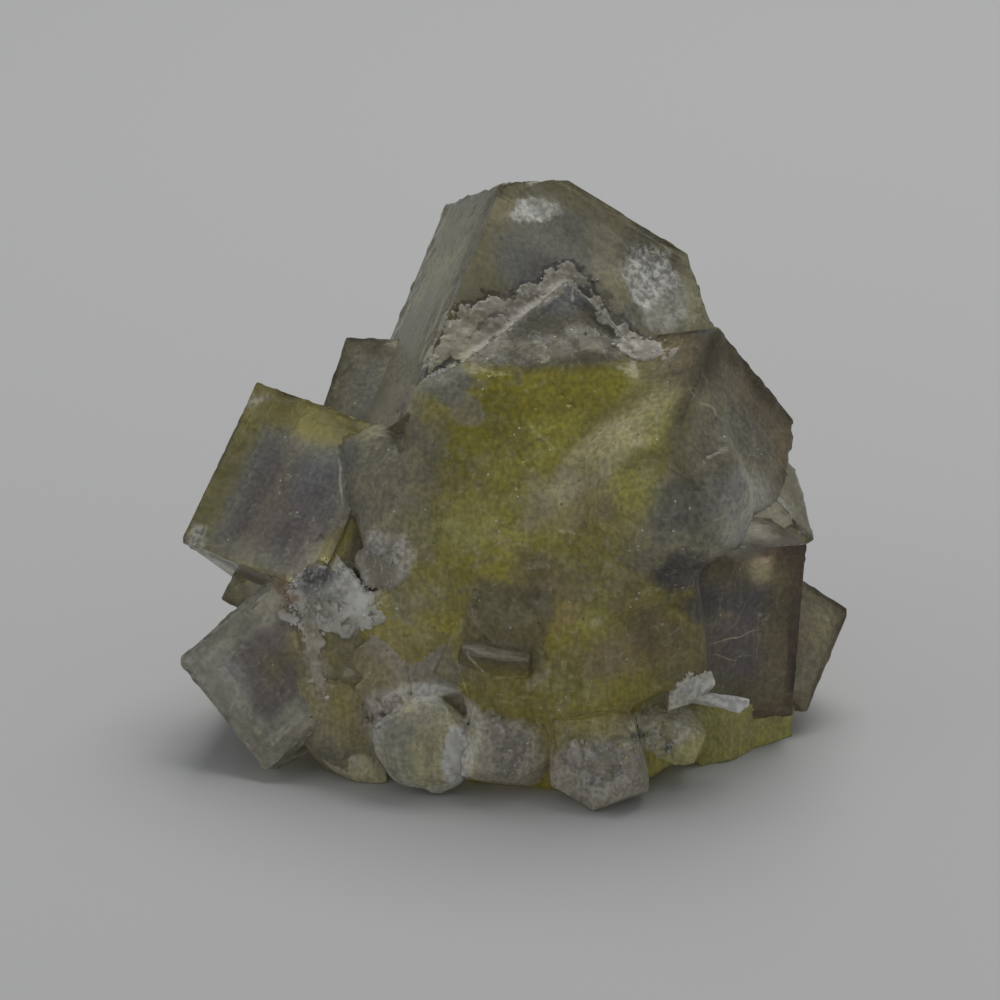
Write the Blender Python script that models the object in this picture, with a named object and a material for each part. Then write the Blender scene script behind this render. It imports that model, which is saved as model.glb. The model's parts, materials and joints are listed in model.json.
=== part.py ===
"""Fluorite specimen: a cluster of intergrown cubes on a broken, crusted base.

The specimen grew as one piece, so it is one closed solid, fluorite_cluster. It is the union of
cube-shaped crystals with growth plates on their faces, a broken heart with stepped cleavage, a
flattened foot, and the lumps of crust along the front of the base. Corners that are knocked off
are cut by rough slabs, and the foot is flat where the specimen rests.

Tables are in millimetres and degrees. The origin is the middle of the footprint, on the ground,
with +Z up and +Y away from the front.
"""

import random
from math import radians
from typing import NamedTuple

import bmesh
import bpy
import numpy as np
from mathutils import Euler, Matrix, Vector
from mathutils.bvhtree import BVHTree

MM = 0.001
FAR = 0.06  # further away than any part of the cluster, in metres

NODE_NAME = "fluorite_cluster"
BASE_MASS = "foot"  # the mass that everything else is joined to
CLUSTER_SHIFT = (-0.323, -3.791, 0.0)  # moves the tables' places so that the footprint is centred

# crystals
EDGE_WEAR = 0.22  # width of the worn edge of a crystal
PLATE_MARGIN = (1.1, 2.4)  # how far a growth plate stays inside its face
PLATE_HEIGHT = 0.16
PLATE_WALL = 0.12

# broken surfaces
BREAK_CUTS = 6  # how finely the face of a broken corner is divided
BREAK_ROUGHNESS = 0.35
PLANE_DEPTH = (0.82, 0.98)  # where a fracture plane cuts a mass, as a part of its full reach there
CHIP_PLANES = 11
CHIP_ROUNDING = 1.35
CHIP_LENGTH = (3.0, 9.0)  # a cleavage chip's two long sides
CHIP_RISE = (0.15, 0.9)  # how far a cleavage chip stands proud
CHIP_TURN = 14.0  # largest turn of a chip against the mass it belongs to, in degrees
CHIP_SUNK = 2.4  # how deep a chip reaches into its mass
LUMP_JITTER = 0.22  # how uneven a crust lump is, as a part of its radius
LUMP_SUNK = 0.25  # how deep a lump's middle lies in what it grows from, as a part of its radius
CRUST_INWARD = Vector((0.0, 0.94, -0.34))  # the way crust grows onto the front of the cluster

FLUORITE_OLIVE = (0.36, 0.33, 0.10, 1.0)


class Crystal(NamedTuple):
    """A cube-shaped crystal: its middle, its edge lengths, and its turn about X, Y and Z."""

    centre: tuple
    size: tuple
    turn: tuple


class CornerBreak(NamedTuple):
    """A broken corner: the crystal, the corner's signs, and how far each edge is cut back."""

    crystal: str
    corner: tuple
    cut_back: tuple


class Mass(NamedTuple):
    """A broken mass: middle, half sizes, turn, fracture planes, rounding and chips on its front.

    A rounding of 1 is a block with its edges knocked off, and a rounding of 2 is an egg.
    """

    centre: tuple
    half: tuple
    turn: tuple
    planes: int
    rounding: float
    chips: int


class Crust(NamedTuple):
    """A patch of crust: its middle, its half widths, how many lumps, and their radii."""

    centre: tuple
    spread: tuple
    lumps: int
    radius: tuple


CRYSTALS = {
    "crown": Crystal((2.0, 9.8, 27.0), (21, 12, 25), (-40.0, 33.3, 7.7)),
    "upper_left": Crystal((-15.3, 4.4, 17.0), (13, 12, 13.8), (-37.7, 6.0, -34.5)),
    "lower_left": Crystal((-14.9, 0.6, 6.7), (15, 16, 11), (-28.8, -42.4, 3.9)),
    "left_shoulder": Crystal((-7.8, 7.2, 21.7), (12, 13, 10), (42.6, -7.8, -29.4)),
    "upper_right": Crystal((11.7, -2.3, 24.5), (13, 12, 13), (37.7, -16.1, -35.8)),
    "lower_right": Crystal((14.4, 2.0, 9.6), (12, 12, 14), (-1.5, 4.1, 20.6)),
    "far_right": Crystal((17.6, 6.4, 6.1), (11, 12, 9), (-28.3, 37.2, 14.4)),
    "right_lobe": Crystal((18.0, 8.7, 16.2), (8, 6, 9), (24.0, -36.1, -21.5)),
    "left_stub": Crystal((-18.2, 5.6, 10.5), (6, 6, 6), (-21.6, 18.9, -29.6)),
    "back_middle": Crystal((-2.0, 9.0, 15.0), (18, 17, 18), (18, -24, 30)),
    "back_right": Crystal((9.0, 12.0, 19.0), (12, 11, 11), (-30, 14, 52)),
    "back_left": Crystal((-9.5, 9.0, 8.5), (12, 12, 12), (8, 20, -22)),
    "back_foot": Crystal((9.5, 11.0, 6.5), (13, 12, 11), (24, -10, 12)),
    "heart_cap": Crystal((3.0, 1.0, 28.5), (11, 9, 8), (-35.4, 27.6, -146.9)),
}

CORNER_BREAKS = [
    CornerBreak("crown", (-1, -1, 1), (4.2, 13.0, 3.0)),
    CornerBreak("crown", (1, -1, 1), (4.3, 10.0, 4.6)),
    CornerBreak("upper_right", (1, 1, -1), (1.0, 3.0, 1.0)),
    CornerBreak("upper_right", (1, -1, 1), (3.2, 4.0, 3.2)),
    CornerBreak("upper_right", (1, -1, -1), (6.0, 5.0, 4.5)),
    CornerBreak("right_lobe", (1, 1, -1), (2.2, 5.0, 2.4)),
]

MASSES = {
    "foot": Mass((0.0, 2.5, 5.0), (18.0, 11.5, 8.0), (0, 0, 0), 60, 2.0, 0),
    "core": Mass((0.0, 3.5, 16.0), (14.5, 11.0, 13.0), (0, 0, 0), 60, 2.0, 0),
    "heart": Mass((3.1, 0.0, 19.7), (10, 9, 12), (-32, -26, 15), 26, 1.1, 0),
    "lower_heart": Mass((3.0, -3.9, 9.9), (8.5, 8, 7.5), (-15, -19, 5), 26, 1.2, 0),
    "left_flank": Mass((-6.2, -2.4, 18.0), (4.2, 5.5, 7.2), (-27, -16, 2), 18, 1.2, 0),
    "left_wedge": Mass((-9.4, -1.9, 20.0), (2.8, 3.4, 6.2), (-27, -20, -14), 16, 1.2, 0),
    "lower_left_flank": Mass((-6.6, -5.0, 11.4), (4.7, 5, 4.2), (-24, -32, 7), 18, 1.15, 0),
    "right_flank": Mass((10.9, -5.6, 22.0), (6.6, 6.2, 6.2), (-22, -20, 14), 24, 1.3, 0),
    "lower_right_flank": Mass((8.9, -6.0, 13.1), (5.4, 5, 6.2), (-16, -7, 10), 18, 1.3, 0),
    "grey_shard_left": Mass((-9.1, -8.4, 9.1), (2.8, 2.2, 2.8), (-35, -30, 19), 9, 1.1, 1),
    "grey_shard_middle": Mass((-5.3, -9.2, 9.2), (2.8, 2.2, 2.3), (-33, -16, -1), 9, 1.1, 1),
    "grey_shard_right": Mass((-3.4, -9.4, 11.2), (1.7, 2.1, 3.2), (-26, 23, -11), 9, 1.1, 0),
    "ledge": Mass((-1.3, -11.2, 11.3), (2.8, 1.5, 0.9), (24, 8, -9), 7, 1.0, 0),
    "base_lip": Mass((13.4, -0.6, 2.1), (8.8, 5.4, 2.5), (0, 4, 40), 22, 1.15, 3),
    "white_shard": Mass((13.2, -9.2, 7.9), (2.1, 1.0, 1.4), (-20, -14, 10), 14, 1.7, 0),
    "white_spike": Mass((15.6, -9.4, 6.7), (2.3, 0.7, 0.6), (-14, 14, 6), 12, 1.9, 0),
    "white_point": Mass((12.3, -9.3, 9.0), (1.4, 0.7, 0.9), (0, -40, 0), 12, 1.8, 0),
    "flake": Mass((-6.7, -11.4, 4.0), (4.2, 1.9, 4.3), (0, 0, 0), 30, 1.8, 0),
    "grey_lump": Mass((-0.6, -10.7, 4.3), (3.4, 2.6, 3.3), (0, 14, 20), 17, 1.3, 0),
    "front_lump": Mass((6.4, -12.2, 3.5), (3.6, 3.0, 3.8), (0, -10, -15), 19, 1.3, 0),
    "front_sill": Mass((2.6, -7.4, 3.4), (9.8, 4.0, 4.3), (0, 0, -4), 26, 1.3, 0),
    "pale_ridge": Mass((11.3, -8.6, 4.3), (3.3, 2.4, 1.6), (10, 24, 0), 16, 1.3, 0),
    "left_fill": Mass((-12.4, -5.6, 3.8), (4.6, 4.3, 4.2), (0, 0, 10), 18, 1.5, 0),
    "left_crumb": Mass((-12.2, -8.6, 1.3), (2.7, 1.5, 1.3), (0, 12, 0), 16, 1.5, 0),
}

CRUSTS = {
    "groove_left": Crust((-4.0, 1.0, 31.0), (1.4, 1.2, 2.6), 9, (0.5, 1.1)),
    "groove_middle": Crust((-0.2, 3.6, 34.0), (2.6, 1.2, 0.9), 10, (0.5, 1.0)),
    "groove_peak": Crust((4.0, 6.8, 35.2), (1.8, 1.2, 1.0), 7, (0.6, 1.1)),
    "groove_right": Crust((7.6, 4.8, 32.6), (1.0, 1.2, 2.4), 8, (0.5, 1.0)),
    "right_saddle": Crust((10.6, 4.0, 30.6), (2.4, 1.2, 0.9), 8, (0.6, 1.1)),
    "left_druse": Crust((-13.3, -5.6, 13.8), (3.0, 1.3, 2.6), 22, (0.5, 1.05)),
    "druse_tail": Crust((-14.4, -7.6, 9.4), (0.8, 0.6, 2.4), 7, (0.4, 0.7)),
    "flake_rim": Crust((-4.2, -12.0, 3.4), (0.9, 1.0, 2.4), 7, (0.5, 1.0)),
    "shard_crumbs": Crust((-8.6, -10.6, 7.0), (1.6, 0.9, 1.3), 8, (0.4, 0.8)),
    "front_crumbs": Crust((1.8, -12.8, 2.6), (2.2, 1.0, 1.8), 9, (0.5, 1.0)),
    "lump_crumbs": Crust((6.8, -14.0, 3.9), (2.4, 1.0, 2.0), 12, (0.5, 1.0)),
    "ridge_crumbs": Crust((11.8, -10.6, 5.4), (2.2, 0.8, 1.8), 11, (0.4, 0.9)),
    "right_crumbs": Crust((16.4, -5.6, 8.4), (1.6, 0.8, 1.2), 5, (0.3, 0.6)),
}


def to_metres(place):
    """A place in the tables' frame, in millimetres, as metres in the part's frame."""
    return (Vector(place) + Vector(CLUSTER_SHIFT)) * MM


def clear_scene():
    """Remove the objects of the start-up scene."""
    for start_up_object in list(bpy.data.objects):
        bpy.data.objects.remove(start_up_object, do_unlink=True)


def new_collection(name):
    """A new collection in the scene."""
    collection = bpy.data.collections.new(name)
    bpy.context.scene.collection.children.link(collection)
    return collection


def add_object(name, mesh_data, collection, helper=True):
    """Turn a bmesh, in metres, into an object; a helper is only used by modifiers."""
    bmesh.ops.recalc_face_normals(mesh_data, faces=mesh_data.faces)
    mesh = bpy.data.meshes.new(name)
    mesh_data.to_mesh(mesh)
    mesh_data.free()
    new_object = bpy.data.objects.new(name, mesh)
    collection.objects.link(new_object)
    if helper:
        new_object.hide_render = True
        new_object.display_type = "WIRE"
    return new_object


def placement(centre, turn):
    """The matrix that turns a shape about its middle and puts it at its place."""
    angles = Euler([radians(angle) for angle in turn], "XYZ")
    return Matrix.Translation(to_metres(centre)) @ angles.to_matrix().to_4x4()


def stable_seed(text):
    """A seed that depends on the letters of a name alone."""
    return sum(ord(letter) * (place + 1) for place, letter in enumerate(text))


def crystal_mesh(crystal, name):
    """A cube with worn edges and one low growth plate on each face."""
    source = random.Random(stable_seed(name))
    cube = bmesh.new()
    bmesh.ops.create_cube(cube, size=1.0)
    bmesh.ops.scale(cube, vec=Vector(crystal.size) * MM, verts=cube.verts)
    bmesh.ops.bevel(
        cube, geom=cube.edges[:], offset=EDGE_WEAR * MM, segments=1, affect="EDGES", clamp_overlap=True
    )
    faces = sorted(cube.faces, key=lambda face: face.calc_area(), reverse=True)[:6]
    for face in faces:
        margin = source.uniform(*PLATE_MARGIN) * MM
        bmesh.ops.inset_individual(cube, faces=[face], thickness=margin)
        bmesh.ops.inset_individual(cube, faces=[face], thickness=PLATE_WALL * MM, depth=PLATE_HEIGHT * MM)
    bmesh.ops.transform(cube, matrix=placement(crystal.centre, crystal.turn), verts=cube.verts)
    return cube


def corner_cutter(corner_break, crystal, collection, number):
    """A rough slab whose lower face runs through the three points where a corner's edges are cut."""
    signs = Vector(corner_break.corner)
    half = Vector(crystal.size) / 2
    corner = Vector([sign * length for sign, length in zip(signs, half)])
    cuts = []
    for axis in range(3):
        point = corner.copy()
        point[axis] -= signs[axis] * corner_break.cut_back[axis]
        cuts.append(point)
    normal = (cuts[1] - cuts[0]).cross(cuts[2] - cuts[0]).normalized()
    if normal.dot(signs) < 0:
        normal.negate()
    middle = (cuts[0] + cuts[1] + cuts[2]) / 3
    width = 1.9 * max((cuts[i] - cuts[j]).length for i, j in ((0, 1), (1, 2), (2, 0)))
    source = random.Random(number + 50)
    slab = bmesh.new()
    bmesh.ops.create_cube(slab, size=width)
    bmesh.ops.subdivide_edges(slab, edges=slab.edges[:], cuts=BREAK_CUTS, use_grid_fill=True)
    bmesh.ops.translate(slab, vec=(0, 0, width / 2), verts=slab.verts)
    for vertex in slab.verts:
        if vertex.co.z < width / 100:
            vertex.co.z += source.uniform(-0.5, 0.5) * BREAK_ROUGHNESS
    turn = normal.to_track_quat("Z", "Y").to_matrix().to_4x4()
    bmesh.ops.transform(slab, matrix=Matrix.Translation(middle) @ turn, verts=slab.verts)
    bmesh.ops.scale(slab, vec=(MM, MM, MM), verts=slab.verts)
    bmesh.ops.transform(slab, matrix=placement(crystal.centre, crystal.turn), verts=slab.verts)
    return add_object(f"break_{number}_{corner_break.crystal}", slab, collection)


def fractured_mesh(half, planes, rounding, source):
    """A closed form cut all round by random fracture planes, which leave flat facets.

    The uncut form is a rounded box in the units of its half sizes, so a plane's full reach is the
    sum of its normal's parts to the power of the rounding, taken back by that power.
    """
    form = bmesh.new()
    bmesh.ops.create_cube(form, size=2.0)
    for _ in range(planes):
        normal = Vector(source.normal(size=3)).normalized()
        full_reach = sum(abs(part) ** rounding for part in normal) ** (1.0 / rounding)
        cut = bmesh.ops.bisect_plane(
            form,
            geom=form.verts[:] + form.edges[:] + form.faces[:],
            plane_co=normal * full_reach * source.uniform(*PLANE_DEPTH),
            plane_no=normal,
            clear_outer=True,
        )
        rim = [part for part in cut["geom_cut"] if isinstance(part, bmesh.types.BMEdge)]
        if rim:
            bmesh.ops.contextual_create(form, geom=rim)
    bmesh.ops.scale(form, vec=half, verts=form.verts)
    return form


def seat(form, centre, turn):
    """Turn a form made in millimetres about its middle and put it at its place, in metres."""
    bmesh.ops.scale(form, vec=(MM, MM, MM), verts=form.verts)
    bmesh.ops.transform(form, matrix=placement(centre, turn), verts=form.verts)
    return form


def chip_mesh(mass, source):
    """One cleavage chip: a flat broken slab, nearly parallel to the front of its mass."""
    rise = source.uniform(*CHIP_RISE)
    half = [min(source.uniform(*CHIP_LENGTH) / 2, 0.7 * reach) for reach in mass.half]
    half[1] = (rise + CHIP_SUNK) / 2
    place = [source.uniform(-0.72, 0.72) * reach for reach in mass.half]
    place[1] = -mass.half[1] + (CHIP_SUNK - rise) / 2
    chip = fractured_mesh(half, CHIP_PLANES, CHIP_ROUNDING, source)
    turn = Euler([radians(source.uniform(-CHIP_TURN, CHIP_TURN)) for _ in range(3)], "XYZ")
    bmesh.ops.transform(chip, matrix=Matrix.Translation(place) @ turn.to_matrix().to_4x4(), verts=chip.verts)
    return seat(chip, mass.centre, mass.turn)


class GrownSurface:
    """The outside of everything that crust can grow on."""

    def __init__(self, grown_objects):
        bpy.context.view_layer.update()
        depsgraph = bpy.context.evaluated_depsgraph_get()
        self.trees = [BVHTree.FromObject(grown, depsgraph) for grown in grown_objects]

    def first_hit(self, place):
        """Where a line along CRUST_INWARD through a place first meets the outside."""
        start = to_metres(place) - CRUST_INWARD * FAR
        hits = [tree.ray_cast(start, CRUST_INWARD) for tree in self.trees]
        distances = [distance for _, _, _, distance in hits if distance is not None]
        if not distances:
            return None
        return start + CRUST_INWARD * min(distances)


def lump_mesh(crust, source, surface):
    """One lump of crust: a small uneven ball on the outside, or None where there is nothing."""
    radius = source.uniform(*crust.radius) * MM
    lump = bmesh.new()
    bmesh.ops.create_icosphere(lump, subdivisions=1, radius=radius)
    for vertex in lump.verts:
        vertex.co *= 1.0 + source.uniform(-LUMP_JITTER, LUMP_JITTER)
    place = [middle + source.uniform(-half, half) for middle, half in zip(crust.centre, crust.spread)]
    seat = surface.first_hit(place)
    if seat is None:
        lump.free()
        return None
    bmesh.ops.translate(lump, vec=seat + CRUST_INWARD * radius * LUMP_SUNK, verts=lump.verts)
    return lump


def main():
    clear_scene()
    cluster = new_collection("fluorite_specimen")
    growths = new_collection("growths")
    cutters = new_collection("cutters")

    for name, crystal in CRYSTALS.items():
        grown = add_object(name, crystal_mesh(crystal, name), growths)
        for number, corner_break in enumerate(CORNER_BREAKS):
            if corner_break.crystal == name:
                cut = grown.modifiers.new(f"break_{number}", "BOOLEAN")
                cut.operation = "DIFFERENCE"
                cut.solver = "EXACT"
                cut.object = corner_cutter(corner_break, crystal, cutters, number)
    for name, mass in MASSES.items():
        source = np.random.default_rng(stable_seed(name))
        form = seat(fractured_mesh(mass.half, mass.planes, mass.rounding, source), mass.centre, mass.turn)
        if name == BASE_MASS:
            specimen = add_object(NODE_NAME, form, cluster, helper=False)
        else:
            add_object(name, form, growths)
        for number in range(mass.chips):
            add_object(f"{name}_chip_{number}", chip_mesh(mass, source), growths)

    surface = GrownSurface([specimen, *growths.objects])
    for name, crust in CRUSTS.items():
        source = random.Random(stable_seed(name))
        for number in range(crust.lumps):
            lump = lump_mesh(crust, source, surface)
            if lump:
                add_object(f"{name}_{number}", lump, growths)

    join = specimen.modifiers.new("grown together", "BOOLEAN")
    join.operation = "UNION"
    join.operand_type = "COLLECTION"
    join.collection = growths
    join.solver = "EXACT"

    ground = bmesh.new()
    bmesh.ops.create_cube(ground, size=0.2)
    bmesh.ops.translate(ground, vec=(0, 0, -0.1), verts=ground.verts)
    flat = specimen.modifiers.new("flat where it rests", "BOOLEAN")
    flat.operation = "DIFFERENCE"
    flat.solver = "EXACT"
    flat.object = add_object("ground", ground, cutters)

    material = bpy.data.materials.new("fluorite")
    material.use_nodes = True
    shader = material.node_tree.nodes["Principled BSDF"]
    shader.inputs["Base Color"].default_value = FLUORITE_OLIVE
    shader.inputs["Roughness"].default_value = 0.15
    shader.inputs["Metallic"].default_value = 0.0
    specimen.data.materials.append(material)


main()
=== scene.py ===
"""Fluorite specimen: intergrown cubes with clear rims and smoky cores round a broken yellow heart.

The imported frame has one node, fluorite_cluster. Two pieces stand for it: fluorite_body, the glassy
crystals and broken masses joined into one closed skin, and white_druse, the crust of small white
crystals in the grooves and along the base.

Plans are in millimetres and degrees, in the tables' frame. CLUSTER_SHIFT moves that frame onto the
part's frame, whose origin is the middle of the footprint on the ground, with +Z up and +Y away from
the front.
"""

from __future__ import annotations

import json
import logging
import random
from dataclasses import dataclass, field
from enum import Enum
from math import cos, pi, radians, sin

import bpy
import numpy as np
from mathutils import Euler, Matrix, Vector
from mathutils.bvhtree import BVHTree

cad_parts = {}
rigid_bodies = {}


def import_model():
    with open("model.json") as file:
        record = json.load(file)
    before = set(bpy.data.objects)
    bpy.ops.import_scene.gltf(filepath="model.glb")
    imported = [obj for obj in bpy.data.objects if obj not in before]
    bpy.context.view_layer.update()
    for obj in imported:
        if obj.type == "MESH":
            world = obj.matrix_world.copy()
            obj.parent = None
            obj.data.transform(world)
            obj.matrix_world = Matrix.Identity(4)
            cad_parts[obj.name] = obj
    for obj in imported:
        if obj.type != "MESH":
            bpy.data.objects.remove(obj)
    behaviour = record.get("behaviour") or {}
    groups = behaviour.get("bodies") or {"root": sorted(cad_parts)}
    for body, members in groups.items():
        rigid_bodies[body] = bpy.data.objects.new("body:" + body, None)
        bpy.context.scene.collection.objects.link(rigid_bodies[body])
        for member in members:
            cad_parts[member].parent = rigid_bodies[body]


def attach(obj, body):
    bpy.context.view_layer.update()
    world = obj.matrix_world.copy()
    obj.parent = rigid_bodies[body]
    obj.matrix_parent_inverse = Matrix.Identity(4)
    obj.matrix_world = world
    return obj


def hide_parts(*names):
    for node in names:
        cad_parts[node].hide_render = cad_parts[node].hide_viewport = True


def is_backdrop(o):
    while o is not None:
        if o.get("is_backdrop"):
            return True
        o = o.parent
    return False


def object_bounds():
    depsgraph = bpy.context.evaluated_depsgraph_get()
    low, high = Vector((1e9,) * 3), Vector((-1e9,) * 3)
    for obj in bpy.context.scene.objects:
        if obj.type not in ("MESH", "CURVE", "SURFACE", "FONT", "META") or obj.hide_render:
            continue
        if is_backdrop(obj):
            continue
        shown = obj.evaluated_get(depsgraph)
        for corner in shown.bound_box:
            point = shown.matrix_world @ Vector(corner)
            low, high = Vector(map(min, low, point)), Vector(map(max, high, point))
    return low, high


LOG = logging.getLogger("fluorite")

MM = 0.001
NODE = "fluorite_cluster"
BODY = "root"
CLUSTER_SHIFT = np.array([-0.323, -3.791, 0.0])
BASE_MASS = "foot"  # the mass that everything else is joined to
ACROSS = np.array([1.0, 0.0, 0.0])
UP_THE_FRONT = np.array([0.0, 0.342, 0.940])  # up, as seen from the front and 20 degrees above
AWAY = np.array([0.0, 0.940, -0.342])  # away from that viewer
EDGE_STEPS = np.array([0.0, 0.07, 0.15, 0.26, 0.42])  # mm in from a crystal's edge
TINY = 1e-9  # keeps a length that is divided by off nought
FLUORITE_IOR = 1.434
ROUND, SQUARE = 2.0, 7.0  # the powers that make a stain an oval or nearly a rectangle
STAIN_GRAIN = 1.2  # the pitch of a stain's ragged edge, to its smaller reach
STAINED_DEPTHS = (-9.0, -6.0)  # mm towards the front at which stains begin and are full

Pair = tuple[float, float]
Triple = tuple[float, float, float]
Array = np.ndarray
Box = tuple[Triple, Triple]
Mesh = bpy.types.Mesh
Object = bpy.types.Object
Socket = bpy.types.NodeSocket


# ---------------- tones


class Tone(Enum):
    """The colours of the stone, as linear red, green and blue."""

    CLEAR_OLIVE = (0.44, 0.41, 0.27)
    GREY_OLIVE = (0.35, 0.33, 0.25)
    PALE_STRAW = (0.66, 0.63, 0.44)
    PALE_GREY = (0.70, 0.68, 0.58)
    HEART_YELLOW = (0.51, 0.47, 0.075)
    HEART_OLIVE = (0.37, 0.32, 0.10)
    GOLD = (0.42, 0.37, 0.03)
    LIME = (0.58, 0.56, 0.16)
    BEIGE = (0.50, 0.42, 0.26)
    ROSE = (0.46, 0.33, 0.20)
    RIM_YELLOW = (0.54, 0.49, 0.17)
    SMOKE = (0.29, 0.28, 0.25)
    # Painted shade as well as the smoky grey of the heart's top: darkened past the stone's own tone so the
    # upward-facing top and ledge stay dark under the overhead light.
    TOP_SMOKE_AND_SHADE = (0.135, 0.125, 0.09)
    BLUE_SMOKE = (0.25, 0.26, 0.28)
    PURPLE_SMOKE = (0.17, 0.15, 0.16)
    DEEP_PURPLE = (0.10, 0.09, 0.11)
    DARK_OLIVE = (0.18, 0.16, 0.09)
    BROWN = (0.30, 0.24, 0.14)
    TAN = (0.44, 0.36, 0.25)
    DEEP_BROWN = (0.17, 0.12, 0.08)
    RUST = (0.36, 0.22, 0.10)
    MILK = (0.60, 0.56, 0.40)
    PINK_GREY = (0.50, 0.46, 0.41)
    CRUST = (0.52, 0.49, 0.43)
    FROST = (0.80, 0.79, 0.765)


def tone_array(tone: Tone) -> Array:
    """A tone as an array of three numbers."""
    return np.array(tone.value)


# ---------------- numbers


def stable_seed(text: str) -> int:
    """A seed that depends on the letters of a name alone."""
    return sum(ord(letter) * (place + 1) for place, letter in enumerate(text))


def smooth_step(value: Array, low: float, high: float) -> Array:
    """Nought below low and one above high, with a cubic curve between."""
    part = np.clip((value - low) / (high - low), 0.0, 1.0)
    return part * part * (3.0 - 2.0 * part)


def mixed(first: Array | float, second: Array | float, share: Array) -> Array:
    """The first where the share is nought, the second where it is one, and a mix between."""
    return first + (second - first) * share


def corner_values(cells: Array, seed: int) -> Array:
    """A fixed random number between -1 and 1 for each whole-number cell.

    Args:
        cells: whole numbers, shape (..., 3)
        seed: a different seed gives different numbers

    Returns:
        the cell's three numbers multiplied by large primes, mixed bit by bit and scaled
    """
    mixed = (cells[..., 0] * 73856093) ^ (cells[..., 1] * 19349663) ^ (cells[..., 2] * 83492791)
    mixed = (mixed ^ (seed * 2654435761)) & 0xFFFFFFFF
    mixed = ((mixed ^ (mixed >> 15)) * 2246822519) & 0xFFFFFFFF
    mixed = ((mixed ^ (mixed >> 13)) * 3266489917) & 0xFFFFFFFF
    mixed = mixed ^ (mixed >> 16)
    return mixed / 2147483647.5 - 1.0


def value_noise(places: Array, pitch: float, seed: int) -> Array:
    """Smooth noise: random values on a lattice, joined along quintic curves.

    Args:
        places: points, shape (n, 3)
        pitch: the lattice's spacing, in the points' own units
        seed: which noise

    Returns:
        values between -1 and 1, shape (n,)
    """
    scaled = places / pitch + seed * 0.731
    low = np.floor(scaled).astype(np.int64)
    part = scaled - low
    curve = part**3 * (part * (part * 6.0 - 15.0) + 10.0)
    total = np.zeros(len(places))
    for corner in range(8):
        step = np.array([corner & 1, corner >> 1 & 1, corner >> 2 & 1])
        weight = np.prod(np.where(step == 1, curve, 1.0 - curve), axis=1)
        total += weight * corner_values(low + step, seed)
    return total


def layered_noise(places: Array, pitch: float, layers: int, seed: int) -> Array:
    """A sum of value noises, each with half the pitch and half the height of the last."""
    total, height, reach = np.zeros(len(places)), 1.0, 0.0
    for layer in range(layers):
        total += height * value_noise(places, pitch / 2**layer, seed + 7 * layer)
        reach += height
        height *= 0.5
    return total / reach


def cleavage_steps(places: Array, pitch: float, tilt: float, seed: int) -> Array:
    """Flat flakes at slightly different tilts, with a sharp step between neighbours.

    Each point belongs to the nearest of the jittered cell middles. Its height is the cell's own
    level plus the slope of the cell's own plane.

    Args:
        places: points in mm, shape (n, 3)
        pitch: the flakes' mean width in mm
        tilt: the steepest slope of a flake
        seed: which pattern

    Returns:
        heights in mm, from about -pitch * tilt to pitch * tilt, shape (n,)
    """
    scaled = places / pitch
    low = np.floor(scaled).astype(np.int64)
    nearest = np.full(len(places), np.inf)
    height = np.zeros(len(places))
    for step in np.ndindex(3, 3, 3):
        cell = low + np.array(step) - 1
        values = [corner_values(cell, seed + number) for number in range(7)]
        offset = scaled - (cell + 0.5 + 0.42 * np.stack(values[:3], 1))
        distance = np.einsum("ij,ij->i", offset, offset)
        level = 0.5 * values[6] + np.einsum("ij,ij->i", offset, np.stack(values[3:6], 1))
        closer = distance < nearest
        nearest = np.where(closer, distance, nearest)
        height = np.where(closer, level, height)
    return height * pitch * tilt


def turn_matrix(turn: Triple) -> Array:
    """The matrix of a turn about X, then Y, then Z, in degrees."""
    return np.array(Euler([radians(angle) for angle in turn], "XYZ").to_matrix())


def turned_flat(across: Array, along: Array, angle: float) -> tuple[Array, Array]:
    """Places as measured from two axes turned by an angle in degrees."""
    cosine, sine = cos(radians(angle)), sin(radians(angle))
    return across * cosine + along * sine, along * cosine - across * sine


def inside_rectangle(across: Array, along: Array, reach: Pair) -> Array:
    """How far inside a rectangle about nought each place is, negative outside."""
    return np.minimum(reach[0] - np.abs(across), reach[1] - np.abs(along))


def from_front(flat: Array, depth: Array | float) -> Array:
    """Points in the tables' frame from places across and up the front, and how far away they are."""
    return flat[..., :1] * ACROSS + flat[..., 1:] * UP_THE_FRONT + depth * AWAY


# ---------------- surfaces


@dataclass
class Shell:
    """A closed surface in millimetres in the tables' frame, and its skin at each vertex.

    The skin's three numbers run from nought to one: clear is how much light passes, haze is how
    much it is scattered on the way, and frost is how crushed and white the surface is. Soft is how
    much the surface is rounded once everything is joined.
    """

    places: Array
    faces: Array
    tint: Array
    skin: Array
    grain: Array
    soft: float = 0.0

    def to_object(self, name: str, collection: bpy.types.Collection) -> Object:
        """Make a mesh object, in metres in the part's frame, with the skin on its corners."""
        mesh = mesh_from_arrays(name, (self.places + CLUSTER_SHIFT) * MM, self.faces)
        loops = self.faces.reshape(-1)
        for key in ("tint", "grain", "skin"):
            write_skin(mesh, key, getattr(self, key)[loops])
        write_skin(mesh, "soft", np.full(len(loops), self.soft))
        shell_object = bpy.data.objects.new(name, mesh)
        collection.objects.link(shell_object)
        return shell_object


def mesh_from_arrays(name: str, places: Array, faces: Array) -> Mesh:
    """A mesh from points (n, 3) and faces (m, corners), put in as whole arrays."""
    mesh = bpy.data.meshes.new(name)
    count, corners = faces.shape
    mesh.vertices.add(len(places))
    mesh.vertices.foreach_set("co", places.astype(np.float32).ravel())
    mesh.loops.add(count * corners)
    mesh.loops.foreach_set("vertex_index", faces.astype(np.int32).ravel())
    mesh.polygons.add(count)
    mesh.polygons.foreach_set("loop_start", np.arange(0, count * corners, corners, dtype=np.int32))
    mesh.update(calc_edges=True)
    return mesh


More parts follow.
